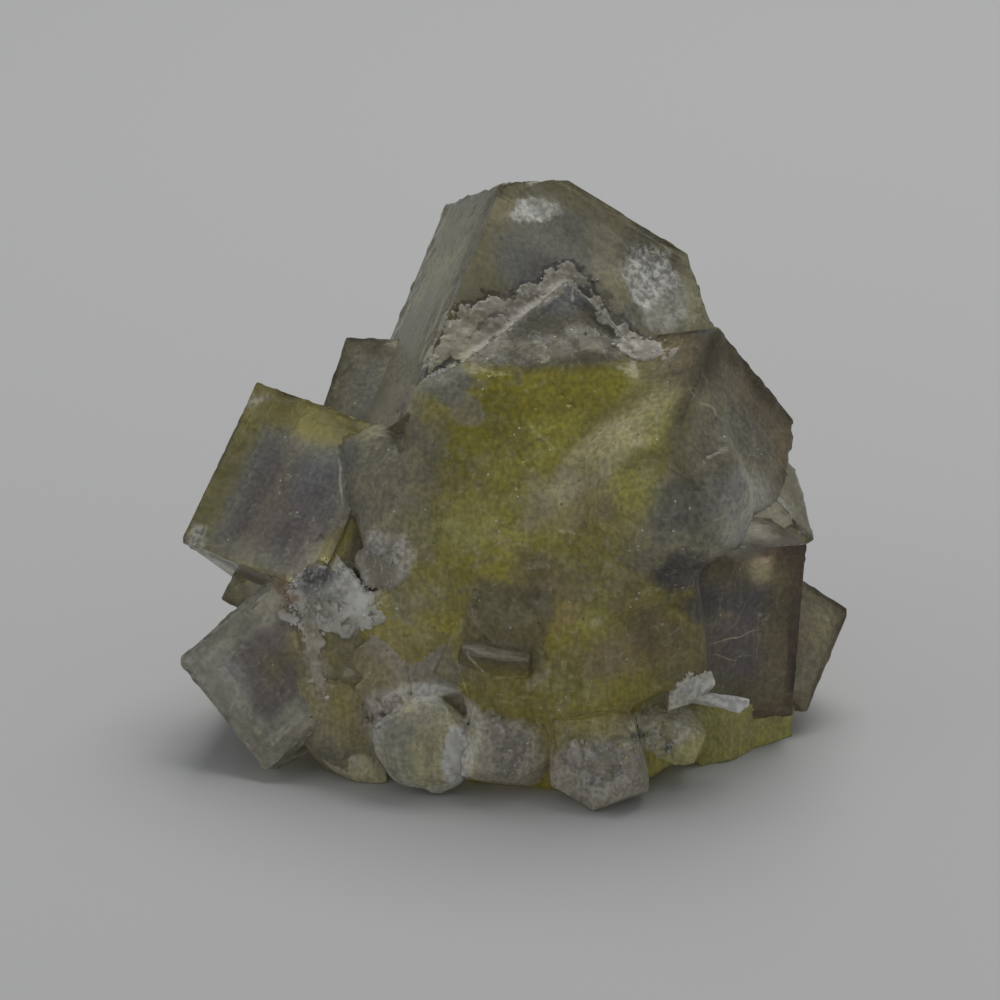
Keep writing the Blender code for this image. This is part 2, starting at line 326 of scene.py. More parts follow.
def write_skin(mesh: Mesh, name: str, values: Array) -> None:
    """Write a number (n,) or a vector (n, 3) for each corner of a mesh as an attribute."""
    kind, key = ("FLOAT_VECTOR", "vector") if values.ndim == 2 else ("FLOAT", "value")
    attribute = mesh.attributes.get(name) or mesh.attributes.new(name, kind, "CORNER")
    attribute.data.foreach_set(key, values.astype(np.float32).ravel())


def read_all(
    items: bpy.types.bpy_prop_collection, key: str, width: int = 1, kind: type = np.float32
) -> Array:
    """The value that each item has under a key, as rows of so many numbers."""
    values = np.empty(len(items) * width, kind)
    items.foreach_get(key, values)
    return values.reshape(-1, width) if width > 1 else values


def finished_piece(name: str, mesh: Mesh, sharp_angle: float, material: bpy.types.Material) -> Object:
    """Make a mesh a visible piece: shaded, coloured, riding on the part and standing for its node."""
    mesh.shade_smooth()
    mesh.set_sharp_from_angle(angle=radians(sharp_angle))
    mesh.materials.clear()
    mesh.materials.append(material)
    piece = bpy.data.objects.new(name, mesh)
    bpy.context.scene.collection.objects.link(piece)
    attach(piece, BODY)
    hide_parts(NODE)
    LOG.info("%s has %d faces", name, len(mesh.polygons))
    return piece


def kept_inside(places: Array, box: Box) -> Array:
    """Worn tips that would stand out of the part's box are brought back to its sides."""
    return np.clip(places, np.array(box[0]), np.array(box[1])).astype(np.float32)


def box_lattice(steps: tuple[Array, Array, Array]) -> tuple[Array, Array]:
    """The skin of a box as six grids that share their borders.

    Each side runs over two of the three step arrays, while the third stays at its first or last
    value. Grid points with the same three step numbers are one vertex.

    Args:
        steps: rising places along X, Y and Z

    Returns:
        the vertices (n, 3) and the outward four-cornered faces (m, 4)
    """
    counts = [len(step) for step in steps]
    sides = []
    for axis in range(3):
        across, along = (axis + 1) % 3, (axis + 2) % 3
        first, second = np.meshgrid(np.arange(counts[across]), np.arange(counts[along]), indexing="ij")
        for end in (0, counts[axis] - 1):
            numbers = [None, None, None]
            numbers[axis], numbers[across], numbers[along] = np.full_like(first, end), first, second
            key = (numbers[0] * counts[1] + numbers[1]) * counts[2] + numbers[2]
            corners = np.stack([key[:-1, :-1], key[1:, :-1], key[1:, 1:], key[:-1, 1:]], -1)
            sides.append((corners if end else corners[..., ::-1]).reshape(-1, 4))
    keys, faces = np.unique(np.concatenate(sides), return_inverse=True)
    numbers = (keys // (counts[1] * counts[2]), keys // counts[2] % counts[1], keys % counts[2])
    places = np.stack([step[number] for step, number in zip(steps, numbers)], -1)
    return places, faces.reshape(-1, 4)


def edge_crowded(half: float, pitch: float) -> Array:
    """Steps from -half to half at the pitch, with closer ones beside both ends."""
    inner = half - EDGE_STEPS[-1]
    count = max(2, int(np.ceil(2.0 * inner / pitch)))
    middle = np.linspace(-inner, inner, count + 1)[1:-1]
    return np.concatenate([EDGE_STEPS - half, middle, half - EDGE_STEPS[::-1]])


# ---------------- crystals


@dataclass(frozen=True)
class Zoning:
    """How a cube's colour changes inwards from its edges: rim, a darker band, then the core.

    Widths are in mm, and lean moves the zones' middle on each face along the crystal's own axes.
    """

    rim: Tone
    band: Tone
    core: Tone
    rim_width: float = 1.6
    band_width: float = 1.4
    rim_clear: float = 0.8
    core_clear: float = 0.5
    rim_haze: float = 0.3
    core_haze: float = 0.6
    lean: Triple = (0.0, 0.0, 0.0)


@dataclass(frozen=True)
class CornerBreak:
    """A broken corner: its signs, and how far each of its edges is cut back in mm."""

    corner: tuple[int, int, int]
    cut_back: Triple


@dataclass(frozen=True)
class Bruise:
    """A crushed white place on a crystal, by its middle in the crystal's own axes, in mm."""

    place: Triple
    reach: Triple
    depth: float = 0.25


@dataclass(frozen=True)
class CrystalPlan:
    """A cube-shaped crystal: middle, edge lengths, turn, colour zones and damage."""

    centre: Triple
    size: Triple
    turn: Triple
    zoning: Zoning
    breaks: tuple[CornerBreak, ...] = ()
    bruises: tuple[Bruise, ...] = ()
    pitch: float = 0.42


@dataclass
class GrownCrystal:
    """A crystal's surface: growth plates and pits on its faces, and worn, nicked edges.

    Lengths are in mm, but reaches are shares of the face's half length. A pair is the least and
    the most of what is drawn at random, or where a change begins and ends. Flakes are their pitch
    and tilt. Each noise adds a number of its own to the seed.
    """

    name: str
    plan: CrystalPlan
    wear: float = 0.085
    wear_swing: float = 0.6
    nick_pitch: float = 0.9
    nick_growth: float = 1.6
    corner_reach: float = 1.2
    plates: int = 7
    plate_height: float = 0.025
    plate_levels: tuple[float, ...] = (-1.0, -0.6, 0.5, 0.6)
    plate_reach: Pair = (0.16, 0.62)
    plate_spread: float = 0.8
    plate_turn: float = 1.2
    plate_side: float = 0.2
    main_plate_height: float = 0.06
    main_plate_margin: Pair = (1.1, 2.4)
    main_plate_side: float = 0.22
    waviness: float = 0.03
    taper: Pair = (0.25, 0.9)
    pits: int = 7
    pit_depth: float = 0.1
    pit_share: Pair = (0.3, 1.0)
    pit_radius: Pair = (0.25, 0.7)
    pit_spread: float = 0.85
    break_margin: float = 0.25
    break_flakes: Pair = (1.7, 0.12)
    break_roughness: float = 0.16
    break_haze: float = 0.45
    bruise_margin: float = 1.0
    bruise_ragged: float = 0.45
    bruise_edge: Pair = (-0.05, 0.2)
    bruise_flakes: Pair = (0.9, 0.22)
    zone_swing: float = 1.0
    band_edge: Pair = (-0.9, 0.8)
    core_edge: Pair = (-0.6, 1.6)
    edge_dark: float = 0.5
    edge_reach: float = 0.42
    seed: int = field(init=False)

    def __post_init__(self) -> None:
        """Take the seed from the name."""
        self.seed = stable_seed(self.name)

    def face_relief(self, across: Array, along: Array, half: Pair, source: random.Random) -> Array:
        """The height of one face over its flat plane.

        The height is a sum of low plates, each one inside a slightly turned rectangle with steep
        sides, less a few round pits.

        Args:
            across: places along the face's first axis, in mm
            along: places along its second axis
            half: the face's half lengths
            source: where the plates and pits are drawn from

        Returns:
            heights in mm, positive outwards
        """
        margin = source.uniform(*self.main_plate_margin)
        inside = inside_rectangle(across, along, (half[0] - margin, half[1] - margin))
        height = self.main_plate_height * smooth_step(inside, 0.0, self.main_plate_side)
        for _ in range(self.plates):
            middle = [source.uniform(-self.plate_spread, self.plate_spread) * length for length in half]
            reach = [source.uniform(*self.plate_reach) * length for length in half]
            turn = source.gauss(0.0, self.plate_turn)
            step = source.choice(self.plate_levels) * self.plate_height
            inside = inside_rectangle(*turned_flat(across - middle[0], along - middle[1], turn), reach)
            height += step * smooth_step(inside, 0.0, self.plate_side)
        for _ in range(self.pits):
            middle = [source.uniform(-self.pit_spread, self.pit_spread) * length for length in half]
            distance = np.hypot(across - middle[0], along - middle[1]) / source.uniform(*self.pit_radius)
            depth = self.pit_depth * source.uniform(*self.pit_share)
            height -= depth * smooth_step(1.0 - distance, 0.0, 0.7)
        return height

    def worn_edges(self, places: Array, half: Array) -> Array:
        """Round the edges by a radius that swings along them and grows at the corners.

        A point is drawn back to the nearest point of a smaller box and pushed out again by the
        radius, so flat faces stay where they are and edges become quarter rounds.
        """
        swing = self.wear_swing * layered_noise(places, self.nick_pitch, 3, self.seed + 11)
        nick = self.nick_growth * smooth_step(value_noise(places, 2.3, self.seed + 12), 0.55, 0.85)
        third = np.max(half - np.abs(places), axis=1)
        corner = smooth_step(self.corner_reach - third, 0.0, self.corner_reach)
        radius = (self.wear * (1.0 + swing + nick + corner))[:, None]
        inner = np.clip(places, radius - half, half - radius)
        outward = places - inner
        length = np.linalg.norm(outward, axis=1, keepdims=True)
        return inner + outward / np.maximum(length, TINY) * radius

    def broken_corner(self, places: Array, damage: CornerBreak, half: Array) -> tuple[Array, Array]:
        """Flatten a corner onto the plane through the three points where its edges are cut.

        Points beyond the plane move onto it along its normal, then in and out by flat flakes and
        fine noise, so the break looks split rather than sawn.

        Returns:
            the moved points, and one for each point of the break and nought elsewhere
        """
        signs = np.array(damage.corner, float)
        corner = signs * half
        cuts = corner - np.diag(signs * np.array(damage.cut_back))
        normal = np.cross(cuts[1] - cuts[0], cuts[2] - cuts[0])
        normal *= np.sign(normal @ signs) / np.linalg.norm(normal)
        beyond = (places - cuts[0]) @ normal
        roughness = cleavage_steps(places, *self.break_flakes, self.seed + 31)
        roughness += self.break_roughness * layered_noise(places, 0.9, 3, self.seed + 32)
        depth = np.maximum(beyond + self.break_margin + roughness, 0.0)
        depth = np.where(beyond > -self.break_margin, depth, 0.0)
        return places - depth[:, None] * normal, smooth_step(beyond, -0.15, 0.1)

    def zone_skin(self, places: Array, half: Array) -> tuple[Array, Array]:
        """Colour, clearness and haze by the distance in from the face's nearest edge.

        The distance is the middle one of the three distances to the crystal's sides, because the
        smallest is nought on a face. It is warped by noise so the zones aren't ruled lines.
        """
        zoning = self.plan.zoning
        depths = np.sort(half - np.abs(places - np.array(zoning.lean)), axis=1)
        inward = depths[:, 1] + self.zone_swing * layered_noise(places, 3.4, 4, self.seed + 21)
        band = smooth_step(inward, *(zoning.rim_width + edge for edge in self.band_edge))
        core = smooth_step(inward, *(zoning.rim_width + zoning.band_width + edge for edge in self.core_edge))
        rim_tint, band_tint, core_tint = map(tone_array, (zoning.rim, zoning.band, zoning.core))
        tint = mixed(mixed(rim_tint, band_tint, band[:, None]), core_tint, core[:, None])
        patchy = smooth_step(layered_noise(places, 2.0, 3, self.seed + 22), -0.3, 0.3)
        worn = smooth_step(self.edge_reach - np.sort(half - np.abs(places), axis=1)[:, 1], 0.0, 0.25)
        tint = tint * (1.0 - self.edge_dark * worn * patchy)[:, None]
        clear = mixed(zoning.rim_clear, zoning.core_clear, band)
        haze = mixed(zoning.rim_haze, zoning.core_haze, band)
        return tint, np.stack([clear, haze, np.zeros(len(places))], 1)

    def build(self) -> Shell:
        """The crystal's surface and skin, put in its place."""
        half = np.array(self.plan.size) / 2.0
        places, faces = box_lattice(tuple(edge_crowded(length, self.plan.pitch) for length in half))
        flat = places.copy()
        source = random.Random(self.seed)
        for axis in range(3):
            across, along = (axis + 1) % 3, (axis + 2) % 3
            for side in (-1.0, 1.0):
                on_face = np.abs(flat[:, axis] - side * half[axis]) < TINY
                first, second = flat[on_face, across], flat[on_face, along]
                reach = (half[across], half[along])
                inward = inside_rectangle(first, second, reach)
                height = self.face_relief(first, second, reach, source)
                height += self.waviness * layered_noise(flat[on_face], 4.5, 2, self.seed + axis)
                places[on_face, axis] += side * height * smooth_step(inward, *self.taper)
        tint, skin = self.zone_skin(flat, half)
        for bruise in self.plan.bruises:
            offset = (flat - np.array(bruise.place)) / np.array(bruise.reach)
            edge = self.bruise_ragged * layered_noise(flat, 1.8, 3, self.seed + 41)
            inside = smooth_step(1.0 - np.linalg.norm(offset, axis=1) + edge, *self.bruise_edge)
            flakes = cleavage_steps(flat, *self.bruise_flakes, self.seed + 42)
            sink = inside * (bruise.depth * 0.6 + flakes + 0.1 * layered_noise(flat, 0.6, 2, self.seed + 43))
            inner = half - self.bruise_margin
            outward = flat - np.clip(flat, -inner, inner)
            outward /= np.maximum(np.linalg.norm(outward, axis=1, keepdims=True), TINY)
            places -= outward * np.maximum(sink, 0.0)[:, None]
            skin[:, 2] = np.maximum(skin[:, 2], inside)
        places = self.worn_edges(places, np.maximum(half, np.abs(places).max(0)))
        for damage in self.plan.breaks:
            places, broken = self.broken_corner(places, damage, half)
            skin[:, 1] = np.maximum(skin[:, 1], self.break_haze * broken)
        turned = places @ turn_matrix(self.plan.turn).T + np.array(self.plan.centre)
        return Shell(turned, faces, tint, skin, places)


# ---------------- broken masses


@dataclass(frozen=True)
class MassPlan:
    """A broken mass: middle, half sizes, turn, fracture planes, rounding, its skin and its chips.

    The pitch is its grid's spacing in mm. Clear, haze, frost and soft are the same as a shell's.
    """

    centre: Triple
    half: Triple
    turn: Triple
    planes: int
    rounding: float
    tone: Tone
    clear: float = 0.62
    frost: float = 0.0
    pitch: float = 0.4
    haze: float = 0.75
    soft: float = 1.0
    chips: int = 0


@dataclass
class BrokenMass:
    """A fractured mass and the cleavage chips on its front.

    A facet's flakes are pitch in mm, tilt and the number added to the seed. A plane that a line
    only grazes is never met, and two planes that are nearly parallel leave no ridge.
    """

    name: str
    plan: MassPlan
    crowding: float = 2.3
    grazing: float = 1e-6
    parallel: float = 0.995
    plane_depth: Pair = (0.82, 0.98)
    facet_flakes: tuple[tuple[float, float, int], ...] = ((3.1, 0.02, 0), (1.3, 0.025, 9))
    facet_waves: float = 0.12
    chip_planes: int = 11
    chip_rounding: float = 1.35
    chip_length: Pair = (3.0, 9.0)
    chip_share: float = 0.7
    chip_rise: Pair = (0.15, 0.9)
    chip_spread: float = 0.72
    chip_turn: float = 14.0
    chip_sunk: float = 2.4
    chip_bedding: float = 0.8
    source: np.random.Generator = field(init=False)

    def __post_init__(self) -> None:
        """Start the mass's own row of random numbers."""
        self.source = np.random.default_rng(stable_seed(self.name))

    def fracture_planes(self, planes: int, rounding: float) -> tuple[Array, Array]:
        """Random planes round a rounded box of half size one.

        The full reach along a normal is the sum of its parts to the power of the rounding, taken
        back by that power, and each plane lies at a random part of that reach.

        Returns:
            the planes' normals (k, 3) and distances (k,), the box's six sides first
        """
        normals = [np.eye(3)[axis] * side for axis in range(3) for side in (-1.0, 1.0)]
        distances = [1.0] * 6
        for _ in range(planes):
            normal = self.source.normal(size=3)
            normal = normal / np.linalg.norm(normal)
            full_reach = np.sum(np.abs(normal) ** rounding) ** (1.0 / rounding)
            normals.append(normal)
            distances.append(full_reach * self.source.uniform(*self.plane_depth))
        return np.array(normals), np.array(distances)

    def fractured(self, half: Array, planes: int, rounding: float, pitch: float) -> tuple[Array, Array]:
        """The surface that random fracture planes leave.

        In each direction from the middle, the surface is where the nearest plane is met. Grid
        points that come close to a ridge between two planes slide onto it, so ridges are crisp.

        Args:
            half: half sizes in mm
            planes: how many fracture planes
            rounding: how round the uncut form is, from 1 to 2
            pitch: the grid's spacing in mm

        Returns:
            points in mm about the middle, and faces
        """
        normals, distances = self.fracture_planes(planes, rounding)
        counts = [max(4, int(np.ceil(self.crowding * length / pitch))) for length in half]
        steps = tuple(np.tan(np.linspace(-pi / 4, pi / 4, count + 1)) for count in counts)
        lattice, faces = box_lattice(steps)
        ways = lattice / np.linalg.norm(lattice, axis=1, keepdims=True)
        facing = ways @ normals.T
        reach = np.where(facing > self.grazing, distances / np.maximum(facing, self.grazing), np.inf)
        order = np.argsort(reach, axis=1)[:, :2]
        rows = np.arange(len(ways))
        points = ways * reach[rows, order[:, 0]][:, None]
        near, far = normals[order[:, 0]], normals[order[:, 1]]
        alike = np.einsum("ij,ij->i", near, far)
        gap = distances[order[:, 1]] - np.einsum("ij,ij->i", far, points)
        spread = np.maximum(1.0 - alike**2, 1e-4)
        close = gap / np.sqrt(spread) < 0.5 * pitch / np.mean(half)
        shift = (gap / spread)[:, None] * (far - alike[:, None] * near)
        slid = (close & (alike < self.parallel))[:, None]
        return (points + np.where(slid, shift, 0.0)) * half, faces

    def weathered(self, points: Array, seed: int, strength: float) -> Array:
        """Sink the facets a little by flat flakes and slow waves."""
        sink = sum(cleavage_steps(points, *flake, seed + number) for *flake, number in self.facet_flakes)
        sink += self.facet_waves * layered_noise(points, 3.0, 3, seed + 18) + self.facet_waves
        length = np.linalg.norm(points, axis=1, keepdims=True)
        return points * (1.0 - strength * np.maximum(sink, 0.0)[:, None] / np.maximum(length, self.grazing))

    def shell(self, points: Array, faces: Array) -> Shell:
        """Put the points in the mass's place and give them the mass's skin."""
        plan = self.plan
        count = len(points)
        turned = points @ turn_matrix(plan.turn).T + np.array(plan.centre)
        tint = np.tile(tone_array(plan.tone), (count, 1))
        skin = np.tile(np.array([plan.clear, plan.haze, plan.frost]), (count, 1))
        return Shell(turned, faces, tint, skin, turned, plan.soft)

    def build(self) -> list[Shell]:
        """The mass and its chips, in that order, because both draw from the same numbers."""
        plan = self.plan
        half = np.array(plan.half)
        seed = stable_seed(self.name)
        points, faces = self.fractured(half, plan.planes, plan.rounding, plan.pitch)
        shells = [self.shell(self.weathered(points, seed, 1.0), faces)]
        for number in range(plan.chips):
            rise = self.source.uniform(*self.chip_rise)
            lengths = [self.source.uniform(*self.chip_length) / 2 for _ in plan.half]
            reach = [min(length, self.chip_share * most) for length, most in zip(lengths, plan.half)]
            reach[1] = (rise + self.chip_sunk) / 2
            spread = self.chip_spread
            place = [self.source.uniform(-spread, spread) * length for length in plan.half]
            place[1] = -plan.half[1] + (self.chip_sunk - rise) / 2 + rise * self.chip_bedding
            points, faces = self.fractured(np.array(reach), self.chip_planes, self.chip_rounding, plan.pitch)
            points = self.weathered(points, seed + 100 + number, 0.6)
            turn = [self.source.uniform(-self.chip_turn, self.chip_turn) for _ in range(3)]
            shells.append(self.shell(points @ turn_matrix(turn).T + np.array(place), faces))
        return shells


# ---------------- stains


@dataclass(frozen=True)
class Stain:
    """A coloured place on the front: a soft oval about a middle, seen from the front.

    The middle and the reach are across and up in mm, and the turn is anticlockwise in degrees.
    Clear, haze and frost, where given, are laid over the skin's in the same way as the tone. A
    square stain has nearly straight sides.
    """

    tone: Tone
    centre: Pair
    reach: Pair
    turn: float = 0.0
    strength: float = 0.8
    softness: float = 0.8
    ragged: float = 0.5
    clear: float | None = None
    haze: float | None = None
    frost: float | None = None
    square: bool = False

    def weight(self, places: Array, seed: int) -> Array:
        """How much of the stain each place has.

        The distance from the middle, in units of the reach and roughened by noise, falls from one
        inside to nought over the softness. Places far behind the front have none.

        Args:
            places: points in the tables' frame, shape (n, 3)
            seed: which noise

        Returns:
            weights from nought to the strength, shape (n,)
        """
        across, up = places[:, 0] - self.centre[0], places @ UP_THE_FRONT - self.centre[1]
        first, second = turned_flat(across, up, self.turn)
        power = SQUARE if self.square else ROUND
        parts = np.abs(first / self.reach[0]) ** power + np.abs(second / self.reach[1]) ** power
        distance = parts ** (1.0 / power)
        near = distance < 1.0 + self.ragged + self.softness / 2
        pitch = STAIN_GRAIN * min(self.reach)
        distance[near] += self.ragged * layered_noise(places[near], pitch, 4, seed)
        front = smooth_step(-(places @ AWAY), *STAINED_DEPTHS)
        return self.strength * front * smooth_step(1.0 - distance, -self.softness / 2, self.softness / 2)


@dataclass(frozen=True)
class Flecks:
    """Many small coloured ovals, thrown at random into a soft region seen from the front.

    A pair other than the centre and the spread is the least and the most that are drawn. Length
    and width are shares of the size.
    """

    tones: tuple[Tone, ...]
    centre: Pair
    spread: Pair
    count: int
    size: Pair
    strength: Pair
    seed: int
    lean: float = 0.0
    lean_scatter: float = 40.0
    scatter: float = 0.5
    length: Pair = (0.8, 2.0)
    width: Pair = (0.4, 0.9)
    softness: float = 0.7

    def stains(self) -> list[Stain]:
        """The flecks as stains, each with its own turn, size and strength."""
        source = random.Random(self.seed)
        made = []
        for _ in range(self.count):
            ways = zip(self.centre, self.spread)
            place = tuple(middle + source.gauss(0.0, self.scatter) * spread for middle, spread in ways)
            size = source.uniform(*self.size)
            reach = (size * source.uniform(*self.length), size * source.uniform(*self.width))
            turn = self.lean + source.gauss(0.0, self.lean_scatter)
            tone = source.choice(self.tones)
            made.append(Stain(tone, place, reach, turn, source.uniform(*self.strength), self.softness))
        return made


# ---------------- the plans

PLAIN = Zoning(Tone.CLEAR_OLIVE, Tone.GREY_OLIVE, Tone.SMOKE)
CROWN_ZONES = Zoning(Tone.CLEAR_OLIVE, Tone.GREY_OLIVE, Tone.GREY_OLIVE, 2.0, 2.0, 0.9, 0.7, 0.15, 0.4)
LEFT_ZONES = Zoning(Tone.RIM_YELLOW, Tone.SMOKE, Tone.PURPLE_SMOKE, 1.5, 1.2, lean=(0.7, 0.0, -1.3))
CORNER_ZONES = Zoning(Tone.PALE_GREY, Tone.PURPLE_SMOKE, Tone.DARK_OLIVE, 2.4, 1.8)
BROWN_ZONES = Zoning(Tone.BROWN, Tone.BROWN, Tone.GREY_OLIVE, 0.9, 2.0)
DARK_ZONES = Zoning(Tone.DEEP_BROWN, Tone.DARK_OLIVE, Tone.PURPLE_SMOKE, 1.2, 1.4, 0.6, 0.4, 0.4, 0.6)
FAR_ZONES = Zoning(Tone.TAN, Tone.CLEAR_OLIVE, Tone.TAN, 0.6, 1.5)
# The cap's rim and band are painted shade over its smoky grey, in the same darkened top tone.
CAP_ZONES = Zoning(Tone.TOP_SMOKE_AND_SHADE, Tone.TOP_SMOKE_AND_SHADE, Tone.HEART_OLIVE, 0.8, 3.0, 0.5, 0.5, 0.8, 0.8)
LOBE_ZONES = Zoning(Tone.PALE_GREY, Tone.PALE_STRAW, Tone.PALE_STRAW, 0.8, 1.0, 0.9, 0.8, 0.15, 0.3)

CRYSTALS: dict[str, CrystalPlan] = {
    "crown": CrystalPlan(
        (2.0, 9.8, 27.0), (21, 12, 25), (-40.0, 33.3, 7.7), CROWN_ZONES,
        breaks=(CornerBreak((-1, -1, 1), (4.2, 13.0, 3.0)), CornerBreak((1, -1, 1), (4.3, 10.0, 4.6))),
        bruises=(
            Bruise((3.4, -6.1, 8.8), (2.2, 2.5, 3.0)),
            Bruise((-7.8, -6.1, 8.8), (1.4, 1.5, 1.1), 0.15),
        ),
        pitch=0.38,
    ),
    "upper_left": CrystalPlan(
        (-15.3, 4.4, 17.0), (13, 12, 13.8), (-37.7, 6.0, -34.5), LEFT_ZONES, pitch=0.38
    ),
    "lower_left": CrystalPlan(
        (-14.9, 0.6, 6.7), (15, 16, 11), (-28.8, -42.4, 3.9), CORNER_ZONES, pitch=0.38
    ),
    "left_shoulder": CrystalPlan((-7.8, 7.2, 21.7), (12, 13, 10), (42.6, -7.8, -29.4), PLAIN),
    "upper_right": CrystalPlan(
        (11.7, -2.3, 24.5), (13, 12, 13), (37.7, -16.1, -35.8), BROWN_ZONES,
        breaks=(
            CornerBreak((1, 1, -1), (1.0, 3.0, 1.0)),
            CornerBreak((1, -1, 1), (3.2, 4.0, 3.2)),
            CornerBreak((1, -1, -1), (6.0, 5.0, 4.5)),
        ),
        pitch=0.38,
    ),
    "lower_right": CrystalPlan((14.4, 2.0, 9.6), (12, 12, 14), (-1.5, 4.1, 20.6), DARK_ZONES, pitch=0.38),
    "far_right": CrystalPlan((17.6, 6.4, 6.1), (11, 12, 9), (-28.3, 37.2, 14.4), FAR_ZONES),
    "right_lobe": CrystalPlan(
        (18.0, 8.7, 16.2), (8, 6, 9), (24.0, -36.1, -21.5), LOBE_ZONES,
        breaks=(CornerBreak((1, 1, -1), (2.2, 5.0, 2.4)),),
    ),
    "left_stub": CrystalPlan((-18.2, 5.6, 10.5), (6, 6, 6), (-21.6, 18.9, -29.6), PLAIN),
    "back_middle": CrystalPlan((-2.0, 9.0, 15.0), (18, 17, 18), (18, -24, 30), PLAIN, pitch=0.55),
    "back_right": CrystalPlan((9.0, 12.0, 19.0), (12, 11, 11), (-30, 14, 52), LEFT_ZONES, pitch=0.5),
    "back_left": CrystalPlan((-9.5, 9.0, 8.5), (12, 12, 12), (8, 20, -22), CORNER_ZONES, pitch=0.5),
    "back_foot": CrystalPlan((9.5, 11.0, 6.5), (13, 12, 11), (24, -10, 12), PLAIN, pitch=0.55),
    "heart_cap": CrystalPlan((3.0, 1.0, 28.5), (11, 9, 8), (-35.4, 27.6, -146.9), CAP_ZONES),
}

MASSES: dict[str, MassPlan] = {
    "foot": MassPlan((0.0, 2.5, 5.0), (18.0, 11.5, 8.0), (0, 0, 0), 60, 2.0, Tone.DARK_OLIVE, pitch=0.9),
    "core": MassPlan((0.0, 3.5, 16.0), (14.5, 11.0, 13.0), (0, 0, 0), 60, 2.0, Tone.HEART_OLIVE, pitch=0.9),
    "heart": MassPlan(
        (3.1, 0.0, 19.7), (10, 9, 12), (-32, -26, 15), 26, 1.1, Tone.HEART_OLIVE, 0.5, pitch=0.32
    ),
    "lower_heart": MassPlan(
        (3.0, -3.9, 9.9), (8.5, 8, 7.5), (-15, -19, 5), 26, 1.2, Tone.HEART_OLIVE, 0.5, pitch=0.34
    ),
    "left_flank": MassPlan(
        (-6.2, -2.4, 18.0), (4.2, 5.5, 7.2), (-27, -16, 2), 18, 1.2, Tone.GREY_OLIVE, 0.5
    ),
    "left_wedge": MassPlan(
        (-9.4, -1.9, 20.0), (2.8, 3.4, 6.2), (-27, -20, -14), 16, 1.2, Tone.GREY_OLIVE, 0.5
    ),
    "lower_left_flank": MassPlan(
        (-6.6, -5.0, 11.4), (4.7, 5, 4.2), (-24, -32, 7), 18, 1.15, Tone.HEART_OLIVE, 0.5
    ),
    "right_flank": MassPlan(
        (10.9, -5.6, 22.0), (6.6, 6.2, 6.2), (-22, -20, 14), 24, 1.3, Tone.GREY_OLIVE, 0.5
    ),
    "lower_right_flank": MassPlan(
        (8.9, -6.0, 13.1), (5.4, 5, 6.2), (-16, -7, 10), 18, 1.3, Tone.DARK_OLIVE, 0.5
    ),
    "grey_shard_left": MassPlan(
        (-9.1, -8.4, 9.1), (2.8, 2.2, 2.8), (-35, -30, 19), 9, 1.1, Tone.PINK_GREY, soft=0.1, chips=1
    ),
    "grey_shard_middle": MassPlan(
        (-5.3, -9.2, 9.2), (2.8, 2.2, 2.3), (-33, -16, -1), 9, 1.1, Tone.PINK_GREY, soft=0.1, chips=1
    ),
    "grey_shard_right": MassPlan(
        (-3.4, -9.4, 11.2), (1.7, 2.1, 3.2), (-26, 23, -11), 9, 1.1, Tone.CLEAR_OLIVE, soft=0.1
    ),
    "ledge": MassPlan((-1.3, -11.2, 11.3), (2.8, 1.5, 0.9), (24, 8, -9), 7, 1.0, Tone.DARK_OLIVE, soft=0.05),
    "base_lip": MassPlan(
        (13.4, -0.6, 2.1), (8.8, 5.4, 2.5), (0, 4, 40), 22, 1.15, Tone.LIME, 0.55, soft=0.3, chips=3
    ),
    "white_shard": MassPlan(
        (13.2, -9.2, 7.9), (2.1, 1.0, 1.4), (-20, -14, 10), 14, 1.7, Tone.FROST, 0.3, 0.5, 0.25, soft=0.0
    ),
    "white_spike": MassPlan(
        (15.6, -9.4, 6.7), (2.3, 0.7, 0.6), (-14, 14, 6), 12, 1.9, Tone.FROST, 0.3, 0.5, 0.2, soft=0.0
    ),
    "white_point": MassPlan(
        (12.3, -9.3, 9.0), (1.4, 0.7, 0.9), (0, -40, 0), 12, 1.8, Tone.FROST, 0.3, 0.5, 0.2, soft=0.0
    ),
    "flake": MassPlan(
        (-6.7, -11.4, 4.0), (4.2, 1.9, 4.3), (0, 0, 0), 30, 1.8, Tone.PALE_STRAW, 0.55, 0.1, 0.28, soft=0.3
    ),
    "grey_lump": MassPlan(
        (-0.6, -10.7, 4.3), (3.4, 2.6, 3.3), (0, 14, 20), 17, 1.3, Tone.PINK_GREY, 0.55, 0.1, 0.28, soft=0.05
    ),
    "front_lump": MassPlan(
        (6.4, -12.2, 3.5), (3.6, 3, 3.8), (0, -10, -15), 19, 1.3, Tone.PINK_GREY, 0.55, 0.1, 0.28, soft=0.05
    ),
    "front_sill": MassPlan(
        (2.6, -7.4, 3.4), (9.8, 4.0, 4.3), (0, 0, -4), 26, 1.3, Tone.GOLD, 0.55, soft=0.3
    ),
    "pale_ridge": MassPlan(
        (11.3, -8.6, 4.3), (3.3, 2.4, 1.6), (10, 24, 0), 16, 1.3, Tone.PALE_STRAW, 0.4, 0.1, 0.28, soft=0.05
    ),
    "left_fill": MassPlan(
        (-12.4, -5.6, 3.8), (4.6, 4.3, 4.2), (0, 0, 10), 18, 1.5, Tone.CLEAR_OLIVE, 0.6, soft=0.3
    ),
    "left_crumb": MassPlan(
        (-12.2, -8.6, 1.3), (2.7, 1.5, 1.3), (0, 12, 0), 16, 1.5, Tone.PALE_STRAW, 0.4, soft=0.1
    ),
}

